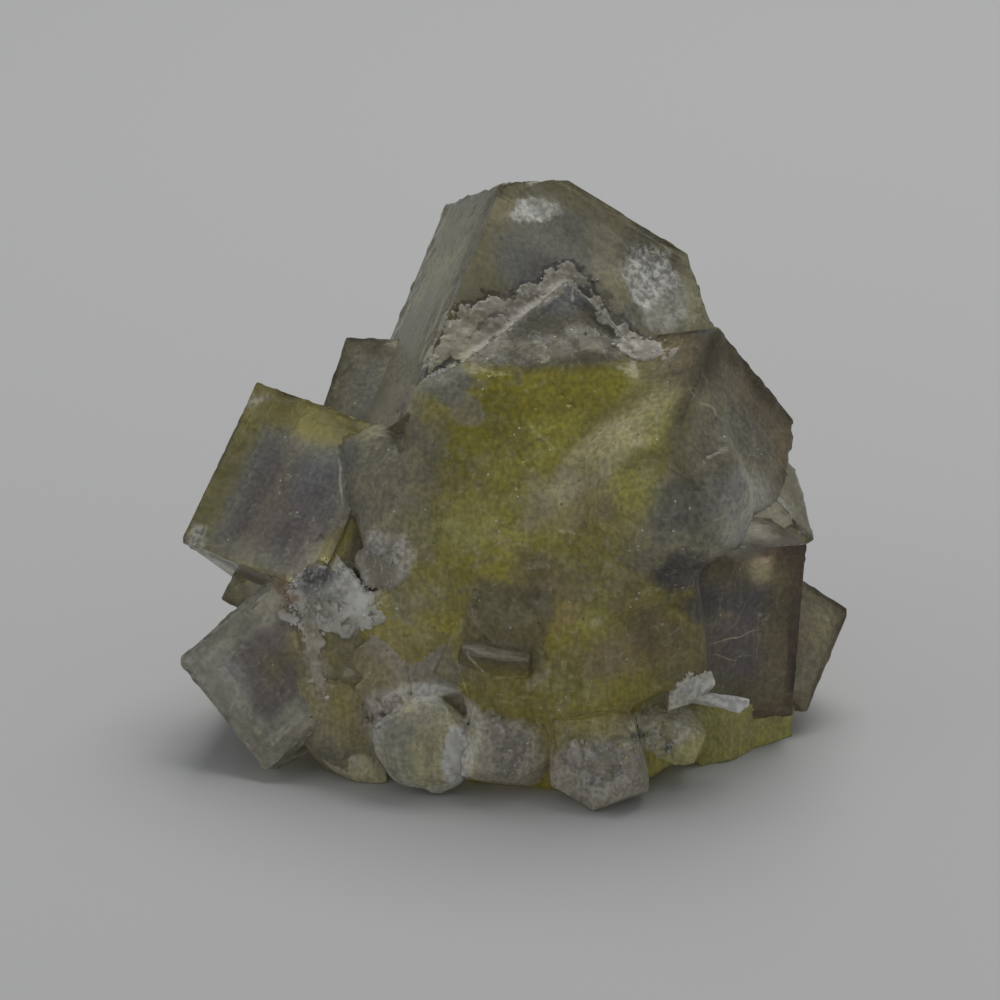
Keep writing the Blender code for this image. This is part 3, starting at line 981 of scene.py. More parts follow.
STAINS: tuple[Stain, ...] = (
    # the heart: a yellow glow, grey at its top and sides, with painted shade on its upward-facing ridges and
    # in the hollow by the lower right crystal
    Stain(Tone.HEART_YELLOW, (2.5, 24.0), (9.5, 7.5), 0, 0.95, 1.0),
    Stain(Tone.HEART_YELLOW, (-1.0, 13.0), (8.5, 6.5), 0, 0.5, 1.0),
    Stain(Tone.HEART_OLIVE, (6.5, 5.0), (8.0, 5.5), 0, 0.6, 0.9),
    Stain(Tone.GOLD, (3.5, 26.9), (5.2, 2.4), 10, 0.8, 0.9),
    Stain(Tone.GOLD, (-2.7, 22.3), (4.6, 2.8), -15, 0.75, 0.9),
    Stain(Tone.GOLD, (-6.6, 15.5), (2.6, 3.6), 0, 0.7, 0.9),
    Stain(Tone.GOLD, (4.2, 2.4), (4.4, 3.4), 0, 0.6, 0.9),
    Stain(Tone.GOLD, (12.4, 10.6), (2.0, 1.8), 0, 0.7, 0.8, 0.4),
    Stain(Tone.GOLD, (1.0, 11.5), (7.5, 4.8), 0, 0.6, 0.9),
    Stain(Tone.LIME, (10.4, 22.6), (3.0, 4.2), -20, 0.65, 0.9),
    Stain(Tone.LIME, (0.4, 17.0), (5.0, 2.4), 10, 0.6, 0.9),
    *Flecks((Tone.GOLD, Tone.GOLD, Tone.LIME, Tone.HEART_OLIVE), (2.0, 17.5), (11.0, 14.0), 50,
            (0.8, 2.4), (0.2, 0.6), 5, 10.0).stains(),
    *Flecks((Tone.BEIGE, Tone.ROSE, Tone.MILK, Tone.SMOKE), (3.0, 12.5), (12.0, 14.0), 60,
            (0.25, 0.7), (0.25, 0.6), 6, 20.0).stains(),
    Stain(Tone.BEIGE, (4.3, 17.8), (3.6, 1.8), 25, 0.6),
    Stain(Tone.ROSE, (3.2, 10.2), (2.2, 1.8), 0, 0.5, 0.9),
    Stain(Tone.ROSE, (7.6, 6.6), (2.6, 1.8), 0, 0.55),
    # Painted shade: dark bands over the ridge under the cap and the diagonal ridge, which face up into the
    # overhead light.
    Stain(Tone.DARK_OLIVE, (3.4, 30.2), (7.8, 1.7), 0, 0.65, 0.9, 0.4),
    Stain(Tone.DARK_OLIVE, (8.6, 25.2), (5.0, 1.3), 38, 0.5, 0.9, 0.4),
    # The heart's grey top, partly its smoky tone and partly painted shade; the second, thin stain is painted
    # shade along the ledge below the cap.
    Stain(Tone.TOP_SMOKE_AND_SHADE, (2.6, 32.2), (7.5, 3.9), 0, 0.95, 0.7, 0.4, haze=0.85, frost=0.0),
    Stain(Tone.TOP_SMOKE_AND_SHADE, (3.0, 29.7), (7.0, 1.3), 0, 0.9, 0.6, 0.25, clear=0.3, haze=1.0, frost=0.0),
    Stain(Tone.CRUST, (-1.8, 31.6), (4.2, 1.5), 34, 0.6, 0.9, 0.4, frost=0.2),
    Stain(Tone.CRUST, (8.4, 32.4), (3.6, 1.1), -55, 0.5, 0.9, 0.4),
    Stain(Tone.GREY_OLIVE, (-8.6, 22.3), (2.3, 7.5), 6),
    Stain(Tone.BLUE_SMOKE, (-5.2, 27.6), (1.9, 1.9), 30, 0.85, 0.6),
    Stain(Tone.PINK_GREY, (-3.7, 25.2), (1.4, 1.2), -35, 0.55, 0.25, 0.3),
    Stain(Tone.SMOKE, (-6.0, 22.5), (0.9, 3.2), -8, 0.5),
    Stain(Tone.GREY_OLIVE, (15.5, 22.0), (3.4, 6.2), 15, 0.9),
    Stain(Tone.SMOKE, (13.6, 17.2), (3.6, 2.8), 30, 0.75, 0.7),
    Stain(Tone.MILK, (6.5, 22.0), (5.6, 1.5), 41, 0.6, 0.8, 0.4, clear=0.35),
    Stain(Tone.MILK, (3.2, 19.4), (2.6, 1.4), 20, 0.5, 0.8, 0.6),
    Stain(Tone.DARK_OLIVE, (-0.7, 9.0), (3.1, 3.2), -12, 0.85, 0.25, 0.12, square=True),
    Stain(Tone.BROWN, (2.8, 12.6), (3.2, 1.3), -20, 0.5, 0.4, 0.2, square=True),
    # Painted shade: dark patches in the hollow between the heart and the lower right crystal.
    Stain(Tone.DEEP_PURPLE, (12.6, 13.0), (2.2, 1.7), 0, 0.95, 0.6),
    Stain(Tone.DEEP_PURPLE, (14.5, 10.4), (1.8, 1.3), 0, 0.9, 0.6),
    Stain(Tone.DEEP_BROWN, (10.8, 8.4), (2.0, 2.4), 0, 0.5, 0.9),
    # the crown: a bluish phantom, a dark spot, pale rims, crushed places
    Stain(Tone.PALE_STRAW, (-6.0, 37.2), (2.6, 8.5), -21, 0.6, 0.6, 0.3),
    Stain(Tone.FROST, (11.4, 35.2), (2.1, 4.0), 32, 0.55, 0.25, 0.45, frost=0.75),
    *Flecks((Tone.FROST, Tone.BLUE_SMOKE, Tone.SMOKE), (11.4, 35.0), (3.0, 4.4), 70,
            (0.3, 0.7), (0.4, 0.8), 8, 30.0).stains(),
    Stain(Tone.BLUE_SMOKE, (2.8, 37.4), (4.2, 4.0), 0, 0.85, 0.5, 0.35),
    Stain(Tone.PURPLE_SMOKE, (2.6, 36.2), (1.4, 1.2), 0, 0.6, 0.7, 0.4),
    Stain(Tone.PALE_STRAW, (7.4, 36.6), (1.2, 3.6), 22, 0.5, 0.8, 0.4),
    Stain(Tone.PALE_STRAW, (14.6, 35.0), (1.3, 3.8), 12, 0.7, 0.6, 0.3),
    Stain(Tone.FROST, (1.6, 41.0), (2.1, 0.9), 12, 0.9, 0.3, frost=0.85),
    # the crystals on the left
    Stain(Tone.FROST, (-24.7, 15.8), (0.7, 0.9), 0, 0.6, 0.8, 0.8, frost=0.6),
    Stain(Tone.FROST, (-20.2, 26.2), (0.9, 0.4), 20, 0.5, 0.9, 0.8, frost=0.5),
    Stain(Tone.BLUE_SMOKE, (-14.8, 20.6), (1.9, 3.2), -25, 0.7, 0.7),
    Stain(Tone.PURPLE_SMOKE, (-15.8, 17.6), (3.4, 2.2), 20, 0.75),
    # Painted light: a pale patch on the lower left crystal's left rim, where light shows through it.
    Stain(Tone.FROST, (-24.0, 6.2), (1.7, 4.4), 40, 0.5, 0.9),
    Stain(Tone.HEART_OLIVE, (-12.0, 4.4), (3.0, 4.8), 25, 0.6, 0.8, 0.4),
    # Painted light: whitens the right lobe beyond its own pale tone, because it faces away from the lamps.
    Stain(Tone.FROST, (17.8, 17.6), (2.8, 3.4), 0, 0.6),
    # grey-white ground under the crust
    Stain(Tone.PINK_GREY, (-10.3, 13.9), (2.3, 2.0), 20, 0.85, 0.4, frost=0.45),
    Stain(Tone.FROST, (-14.0, 11.0), (3.0, 2.6), 0, 0.9, 0.5, 0.6, frost=0.7),
    Stain(Tone.RUST, (-17.9, 11.8), (0.8, 0.7), 0, 0.8, 0.5),
    Stain(Tone.HEART_OLIVE, (-15.2, 5.8), (1.7, 3.6), 12, 0.55),
    Stain(Tone.PINK_GREY, (-15.2, 5.8), (0.9, 3.8), 12, 0.4, 0.8, 0.6, frost=0.3),
    # the small pieces along the base
    Stain(Tone.PINK_GREY, (-10.0, 2.4), (2.0, 1.6), 30, 0.7, 0.6, frost=0.4),
    Stain(Tone.FROST, (-6.7, 0.1), (4.4, 4.3), 0, 0.8, 0.15, 0.2, clear=0.35, frost=0.2),
    Stain(Tone.PALE_STRAW, (-6.7, -0.1), (3.7, 3.5), 0, 0.95, 0.3, 0.2, clear=0.35, frost=0.0),
    Stain(Tone.BLUE_SMOKE, (-8.9, -0.2), (1.3, 2.4), 0, 0.45, 0.8, 0.3),
    Stain(Tone.RIM_YELLOW, (-6.4, -0.8), (1.5, 2.4), 0, 0.35, 0.8, 0.3),
    Stain(Tone.FROST, (-4.3, -0.9), (1.1, 2.3), -6, 0.85, 0.25, 0.4, frost=0.8),
    Stain(Tone.PINK_GREY, (-0.4, -0.6), (2.6, 2.8), 0, 0.7, 0.6, frost=0.35),
    Stain(Tone.PINK_GREY, (6.4, -2.2), (3.0, 2.6), 0, 0.8, 0.6, frost=0.4),
    Stain(Tone.PALE_STRAW, (11.0, 1.2), (2.8, 1.6), 20, 0.8, 0.6, frost=0.45),
    Stain(Tone.LIME, (15.0, -0.9), (5.5, 1.3), 18, 0.7, 0.6, 0.3),
)


# Where everything is rounded, whatever it is part of, so the heart runs on over its neighbours.
HEART_EASE = Stain(Tone.HEART_OLIVE, (3.5, 19.5), (10.5, 11.0), strength=1.0, softness=0.5, ragged=0.1)


# ---------------- the body


@dataclass
class FluoriteBody:
    """The crystals and masses joined into one closed glassy skin.

    Flakes are pitch in mm, tilt and seed. Facing is how far towards the front a surface has to
    look before the stains begin on it, and before they are full.
    """

    name: str = "fluorite_body"
    sharp_angle: float = 27.0
    cutter_reach: float = 60.0
    soften_rounds: int = 36
    soften_step: float = 0.6
    rigid_foot: float = 0.3
    flakes: tuple[tuple[float, float, int], ...] = ((2.6, 0.06, 73), (1.2, 0.05, 83))
    sink: float = 0.08
    facing: Pair = (-0.25, 0.15)
    stain_seed: int = 300

    def shells(self) -> dict[str, Shell]:
        """Every crystal, mass and chip, by name."""
        forms: dict[str, Shell] = {}
        for name, plan in MASSES.items():
            for number, shell in enumerate(BrokenMass(name, plan).build()):
                forms[name if number == 0 else f"{name}_chip_{number}"] = shell
        for name, plan in CRYSTALS.items():
            forms[name] = GrownCrystal(name, plan).build()
        return forms

    def join(self, forms: dict[str, Shell]) -> Mesh:
        """Unite the forms, then cut them level with the ground."""
        workshop = bpy.data.collections.new("workshop")
        growths = bpy.data.collections.new("growths")
        bpy.context.scene.collection.children.link(workshop)
        workshop.children.link(growths)
        for name, shell in forms.items():
            made = shell.to_object(name, workshop if name == BASE_MASS else growths)
            if name == BASE_MASS:
                base = made
        reach = np.array([-self.cutter_reach, self.cutter_reach])
        places, faces = box_lattice((reach, reach, np.array([-self.cutter_reach, 0.0])))
        tint = np.tile(tone_array(Tone.DARK_OLIVE), (len(places), 1))
        ground = Shell(places - CLUSTER_SHIFT, faces, tint, np.full_like(tint, 0.5), places)
        ground_object = ground.to_object("ground", workshop)
        join = base.modifiers.new("grown together", "BOOLEAN")
        join.operation, join.operand_type, join.collection = "UNION", "COLLECTION", growths
        join.solver = "MANIFOLD"
        level = base.modifiers.new("level foot", "BOOLEAN")
        level.operation, level.object, level.solver = "DIFFERENCE", ground_object, "MANIFOLD"
        joined = base.evaluated_get(bpy.context.evaluated_depsgraph_get())
        made_mesh = bpy.data.meshes.new_from_object(joined)
        for collection in (growths, workshop):
            for helper in list(collection.objects):
                helper_mesh = helper.data
                bpy.data.objects.remove(helper, do_unlink=True)
                bpy.data.meshes.remove(helper_mesh)
            bpy.data.collections.remove(collection)
        return made_mesh

    def soften(self, mesh: Mesh, cad_box: Box) -> None:
        """Round the broken masses' ridges and steps, which leaves slow waves like worn glass.

        In each round every vertex moves part of the way to the mean of its neighbours, by as much
        as its form is soft. Fine flat flakes are then sunk into the softened places.
        """
        count = len(mesh.vertices)
        places = read_all(mesh.vertices, "co", 3).astype(float)
        ends = read_all(mesh.edges, "vertices", 2, np.int32).T
        ways = (ends, ends[::-1])
        loops = read_all(mesh.loops, "vertex_index", 1, np.int32)
        soft = read_all(mesh.attributes["soft"].data, "value")
        share = np.bincount(loops, soft, count) / np.maximum(np.bincount(loops, minlength=count), 1)
        share = np.maximum(share, HEART_EASE.weight(places / MM - CLUSTER_SHIFT, 70))
        share = np.where(places[:, 2] < self.rigid_foot * MM, 0.0, share)
        step = (self.soften_step * share)[:, None]
        neighbours = np.maximum(sum(np.bincount(here, minlength=count) for here, _ in ways), 1)[:, None]
        for _ in range(self.soften_rounds):
            sums = [
                sum(np.bincount(here, column[there], count) for here, there in ways) for column in places.T
            ]
            places += step * (np.stack(sums, 1) / neighbours - places)
        mesh.vertices.foreach_set("co", places.astype(np.float32).ravel())
        mesh.update()
        table_places = places / MM - CLUSTER_SHIFT
        flakes = sum(cleavage_steps(table_places, *flake) for flake in self.flakes)
        waves = self.sink * layered_noise(table_places, 2.2, 4, 72)
        sink = (waves + np.maximum(flakes + self.sink, 0.0)) * share
        places -= read_all(mesh.vertex_normals, "vector", 3) * (sink * MM)[:, None]
        mesh.vertices.foreach_set("co", kept_inside(places, cad_box).ravel())
        mesh.update()
        mesh.attributes.remove(mesh.attributes["soft"])

    def stain(self, mesh: Mesh) -> None:
        """Lay the stains over the skin's colours, by place, on what faces the front."""
        places = read_all(mesh.vertices, "co", 3).astype(float) / MM - CLUSTER_SHIFT
        facing = smooth_step(-(read_all(mesh.vertices, "normal", 3) @ AWAY), *self.facing)
        loops = read_all(mesh.loops, "vertex_index", 1, np.int32)
        kept = [mesh.attributes[key].data for key in ("tint", "skin")]
        tint, skin = (read_all(data, "vector", 3).astype(float) for data in kept)
        for number, stain in enumerate(STAINS):
            weight = (stain.weight(places, self.stain_seed + number) * facing)[loops]
            tint = mixed(tint, tone_array(stain.tone), weight[:, None])
            for column, level in enumerate((stain.clear, stain.haze, stain.frost)):
                if level is not None:
                    skin[:, column] = mixed(skin[:, column], level, weight)
        write_skin(mesh, "tint", tint)
        write_skin(mesh, "skin", skin)

    def build(self, cad_box: Box) -> Object:
        """The finished body, inside the part's box."""
        mesh = self.join(self.shells())
        mesh.name = self.name
        self.soften(mesh, cad_box)
        self.stain(mesh)
        return finished_piece(self.name, mesh, self.sharp_angle, FluoriteFinish().material())


# ---------------- the druse


@dataclass(frozen=True)
class CrustPlan:
    """A patch of crust, seen from the front: knots of (across, up, radius) in mm joined in a row.

    Crowd is the grains to a square mm. Evening is how many rounds draw the sheet taut, lift is how
    far it may then stand off the body, and steepest is the drop over which it tears, both in mm.
    """

    knots: tuple[Triple, ...]
    height: float = 0.45
    roughness: float = 0.35
    ragged: float = 0.55
    tone: Tone = Tone.FROST
    crowd: float = 6.0
    evening: int = 7
    steepest: float = 1.1
    lift: float = 0.5

    def depth_inside(self, flat: Array) -> Array:
        """How far inside the row of joined discs each point (n, 2) is, negative outside."""
        inside = np.full(len(flat), -np.inf)
        for start, end in zip(self.knots, self.knots[1:]):
            begin, way = np.array(start), np.array(end) - np.array(start)
            part = np.clip((flat - begin[:2]) @ way[:2] / float(way[:2] @ way[:2]), 0.0, 1.0)
            distance = np.linalg.norm(flat - begin[:2] - part[:, None] * way[:2], axis=1)
            inside = np.maximum(inside, begin[2] + part * way[2] - distance)
        return inside


CRUSTS: dict[str, CrustPlan] = {
    "groove": CrustPlan(
        ((-6.4, 28.6, 0.8), (-5.0, 30.2, 1.2), (-3.6, 32.0, 1.5), (-2.0, 33.2, 1.2), (-0.4, 33.5, 1.0),
         (1.4, 34.3, 0.9), (3.0, 35.4, 1.0), (4.3, 36.4, 0.9), (5.4, 35.6, 0.8), (6.6, 34.0, 0.7),
         (7.6, 32.0, 0.8), (8.6, 30.6, 1.1), (10.2, 29.8, 1.0), (11.8, 29.5, 0.5)),
        0.1, 0.16, 1.0, Tone.CRUST, crowd=1.5, evening=16, steepest=1.4,
    ),
    "groove_fill": CrustPlan(
        ((-4.4, 29.9, 1.1), (-2.4, 31.4, 1.2), (-0.2, 32.6, 0.9), (2.0, 34.0, 0.8), (4.2, 35.0, 0.8)),
        0.08, 0.14, 0.9, Tone.CRUST, crowd=1.0, evening=16, steepest=1.4,
    ),
    "groove_drip": CrustPlan(((4.3, 35.0, 0.5), (4.5, 33.4, 0.35)), 0.1, 0.1, 0.3, crowd=1.0),
    "left_druse": CrustPlan(
        ((-16.6, 10.9, 1.0), (-14.8, 12.2, 1.3), (-13.2, 11.3, 1.9), (-11.8, 10.4, 1.6), (-13.4, 9.4, 1.5)),
        0.25, 0.4, 1.3, crowd=12.0, evening=60, steepest=3.0, lift=2.0,
    ),
    "druse_tail": CrustPlan(((-15.8, 9.0, 1.1), (-15.5, 6.4, 0.7), (-14.6, 3.6, 0.4)), 0.25, 0.3, 0.9),
    "shard_skin": CrustPlan(
        ((-11.4, 13.6, 0.9), (-10.6, 13.0, 1.3), (-9.4, 12.6, 1.1)),
        0.08, 0.08, 0.6, Tone.PINK_GREY, crowd=2.0, evening=300, steepest=7.0, lift=7.0,
    ),
    "druse_foot": CrustPlan(((-16.8, 9.2, 0.6), (-17.6, 9.6, 0.4)), 0.2, 0.3, 0.8),
    "flake_crumb": CrustPlan(((-10.9, 2.2, 0.9), (-9.6, 2.9, 1.0)), 0.25, 0.35, 0.8, Tone.PINK_GREY),
    "flake_plate": CrustPlan(
        ((-4.6, 0.8, 0.5), (-4.3, -0.6, 0.8), (-4.5, -1.9, 0.5)), 0.05, 0.08, 0.9, evening=60, steepest=3.0
    ),
    "lump_crumb": CrustPlan(
        ((-1.2, 1.0, 0.8), (0.0, -0.4, 0.9), (-1.0, -2.0, 0.6)), 0.2, 0.35, 1.0, Tone.PINK_GREY
    ),
    "front_crumb": CrustPlan(
        ((4.6, -0.6, 0.8), (6.4, -2.0, 1.2), (7.6, -0.2, 0.6)), 0.2, 0.35, 1.0, Tone.PINK_GREY
    ),
    "ridge_crumb": CrustPlan(
        ((8.2, -0.6, 0.5), (9.6, 1.2, 0.9), (11.4, 1.8, 1.0), (11.8, 0.0, 0.7)),
        0.3, 0.35, 0.9, Tone.PALE_STRAW,
    ),
}

CRUST_STAINS: tuple[Stain, ...] = (
    Stain(Tone.PINK_GREY, (1.0, 33.0), (7.0, 1.2), 18, 0.8, 0.8, 0.4),
    Stain(Tone.PALE_STRAW, (-4.6, 30.2), (1.6, 2.6), -20, 0.5, 0.8, 0.6),
    Stain(Tone.BLUE_SMOKE, (-15.4, 12.3), (1.4, 1.0), 30, 0.75, 0.9, 0.6),
    Stain(Tone.DEEP_PURPLE, (-15.1, 12.5), (1.2, 0.8), 30, 0.6, 0.8, 0.6),
    Stain(Tone.BLUE_SMOKE, (-13.8, 11.0), (0.9, 0.4), 20, 0.5, 0.9, 0.6),
    Stain(Tone.RUST, (-17.4, 10.6), (0.9, 0.5), 40, 0.8, 0.5),
    Stain(Tone.BEIGE, (-15.2, 6.0), (1.2, 3.4), 10, 0.6),
    Stain(Tone.DEEP_PURPLE, (9.2, 0.6), (0.6, 0.5), 0, 0.8, 0.5, 0.6),
    Stain(Tone.DEEP_PURPLE, (11.9, -0.4), (0.5, 0.5), 0, 0.8, 0.5, 0.6),
    Stain(Tone.DEEP_PURPLE, (-10.0, 2.2), (0.3, 0.3), 0, 0.8, 0.5, 0.6),
)


@dataclass
class WhiteDruse:
    """The crust: rough sheets laid over the body's outside, with loose grains on them.

    The body is met by straight lines in the away direction from a fine grid of points. A sheet is
    the body's depth, evened out, less the crust's height there, and closed by a back inside the
    body.

    Lengths are in mm. Facets are pitch, tilt and share. An edge says where on the way in from a
    patch's outline a change begins and ends.
    """

    name: str = "white_druse"
    sharp_angle: float = 35.0
    pitch: float = 0.12
    margin: float = 2.2
    far: float = 60.0
    sunk: float = 0.3
    backing: float = 0.4
    outline: float = -0.05
    facets: tuple[Triple, ...] = ((0.55, 0.8, 1.0), (0.3, 0.8, 0.6))
    rise_edge: Pair = (-0.1, 0.9)
    rough_edge: Pair = (-0.2, 0.3)
    sunk_edge: Pair = (-0.25, 0.15)
    grain_overhang: float = 0.25
    grain_seat: float = 0.6
    grain_stretch: Pair = (0.7, 1.2)
    grain_margin: float = 1.0
    grain_steps: int = 3
    grain_power: float = 6.0
    grain_radius: Pair = (0.05, 0.19)
    grain_tries: float = 40.0
    stain_seed: int = 700

    def depths(self, tree: BVHTree, flat: Array) -> Array:
        """How far away the body is met at each point (n, 2) of the front view, or nan."""
        way = Vector(AWAY).normalized()
        found = np.full(len(flat), np.nan)
        for number, start in enumerate((from_front(flat, -self.far) + CLUSTER_SHIFT) * MM):
            place, _, _, distance = tree.ray_cast(Vector(start), way)
            if place is not None:
                found[number] = distance / MM - self.far
        return found

    def evened(self, depth: Array, rounds: int, lift: float) -> Array:
        """Stretch a grid of depths taut over its hollows, leaving nan cells out.

        Each round takes the mean of a cell and its neighbours, or the first depth where that lies
        nearer, so the sheet settles like a film over gaps, never goes behind the body and never
        stands off it by more than the lift.
        """
        first = depth
        width, height = depth.shape
        for _ in range(rounds):
            padded = np.pad(depth, 1, constant_values=np.nan)
            corners = ((1, 1), (0, 1), (2, 1), (1, 0), (1, 2))
            around = np.stack([padded[left : left + width, low : low + height] for left, low in corners])
            filled = np.where(np.isnan(around), 0.0, around)
            known = np.maximum(np.sum(~np.isnan(around), axis=0), 1)
            depth = np.where(np.isnan(depth), np.nan, np.clip(filled.sum(0) / known, first - lift, first))
        return depth

    def sheet(self, tree: BVHTree, name: str, plan: CrustPlan) -> tuple[Array, Array]:
        """One closed sheet of crust: its points in the tables' frame and its faces."""
        seed = stable_seed(name)
        knots = np.array(plan.knots)
        low, high = knots[:, :2].min(0) - self.margin, knots[:, :2].max(0) + self.margin
        across, up = (np.arange(low[axis], high[axis], self.pitch) for axis in range(2))
        shape = (len(across), len(up))
        flat = np.stack(np.meshgrid(across, up, indexing="ij"), -1).reshape(-1, 2)
        inside = plan.depth_inside(flat)
        wanted = inside > -plan.ragged - 0.5
        depth = np.full(len(flat), np.nan)
        depth[wanted] = self.depths(tree, flat[wanted])
        solid = np.column_stack([flat, np.nan_to_num(depth)])
        inside = inside + plan.ragged * layered_noise(solid, 1.3, 4, seed)
        rough = sum(
            share * cleavage_steps(solid, pitch, tilt, seed + 1 + number)
            for number, (pitch, tilt, share) in enumerate(self.facets)
        )
        rough = plan.roughness * (rough + 0.5 * layered_noise(solid, 1.0, 3, seed + 3))
        rise = plan.height * smooth_step(inside, *self.rise_edge)
        rise += rough * smooth_step(inside, *self.rough_edge)
        rise -= self.sunk * smooth_step(-inside, *self.sunk_edge)
        top = self.evened(depth.reshape(shape), plan.evening, plan.lift).reshape(-1) - rise
        known = ~np.isnan(top)
        grid = np.arange(len(flat)).reshape(shape)
        cells = np.stack([grid[:-1, :-1], grid[1:, :-1], grid[1:, 1:], grid[:-1, 1:]], -1).reshape(-1, 4)
        level = np.where(known, depth, 0.0)[cells]
        within = known[cells].all(1) & (inside > self.outline)[cells].any(1)
        cells = cells[within & (np.ptp(level, axis=1) < plan.steepest)]
        back = np.maximum(top, depth) + self.backing
        number = len(flat)
        forward = set(zip(cells.ravel().tolist(), np.roll(cells, -1, axis=1).ravel().tolist()))
        rim = np.array([edge for edge in forward if (edge[1], edge[0]) not in forward])
        walls = np.stack([rim[:, 1], rim[:, 0], rim[:, 0] + number, rim[:, 1] + number], 1)
        faces = np.concatenate([cells, cells[:, ::-1] + number, walls])
        points = np.concatenate([from_front(flat, np.nan_to_num(side)[:, None]) for side in (top, back)])
        used, faces = np.unique(faces, return_inverse=True)
        return points[used], faces.reshape(-1, 4)

    def grains(self, tree: BVHTree, name: str, plan: CrustPlan) -> list[tuple[Array, Array]]:
        """Loose grains over a patch: rounded cubes, turned at random, half sunk in the crust."""
        source = np.random.default_rng(stable_seed(name))
        knots = np.array(plan.knots)
        area = float(np.sum(knots[:, 2] ** 2) * pi)
        reach = np.linspace(-1.0, 1.0, self.grain_steps)
        cube, faces = box_lattice((reach, reach, reach))
        power = self.grain_power
        rounded = cube / (np.sum(np.abs(cube) ** power, axis=1) ** (1 / power))[:, None]
        low, high = knots[:, :2].min(0) - self.grain_margin, knots[:, :2].max(0) + self.grain_margin
        flat = source.uniform(low, high, (int(area * self.grain_tries), 2))
        flat = flat[plan.depth_inside(flat) > -self.grain_overhang][: int(area * plan.crowd)]
        made = []
        for place, depth in zip(flat, self.depths(tree, flat)):
            if np.isnan(depth):
                continue
            radius = source.uniform(*self.grain_radius) * source.uniform(0.5, 1.0)
            seat = from_front(place, depth - plan.height * self.grain_seat * source.uniform(0.0, 1.0))
            stretch = source.uniform(*self.grain_stretch, 3)
            turned = rounded * stretch @ turn_matrix(tuple(source.uniform(-180.0, 180.0, 3))).T
            made.append((turned * radius + seat, faces))
        return made

    def tint(self, places: Array, tones: Array) -> Array:
        """The crust's colour at each vertex, with the stains laid over it."""
        for number, stain in enumerate(CRUST_STAINS):
            weight = stain.weight(places, self.stain_seed + number)[:, None]
            tones = mixed(tones, tone_array(stain.tone), weight)
        return tones

    def build(self, body: Object, cad_box: Box) -> Object:
        """The finished druse, inside the part's box."""
        tree = BVHTree.FromObject(body, bpy.context.evaluated_depsgraph_get())
        places, faces, tones, count = [], [], [], 0
        for name, plan in CRUSTS.items():
            for points, quads in [self.sheet(tree, name, plan), *self.grains(tree, name, plan)]:
                places.append(points)
                faces.append(quads + count)
                tones.append(np.tile(tone_array(plan.tone), (len(points), 1)))
                count += len(points)
        table_places, quads = np.concatenate(places), np.concatenate(faces)
        points = kept_inside((table_places + CLUSTER_SHIFT) * MM, cad_box)
        mesh = mesh_from_arrays(self.name, points, quads)
        write_skin(mesh, "tint", self.tint(table_places, np.concatenate(tones))[quads.reshape(-1)])
        return finished_piece(self.name, mesh, self.sharp_angle, DruseFinish().material())


# ---------------- finishes


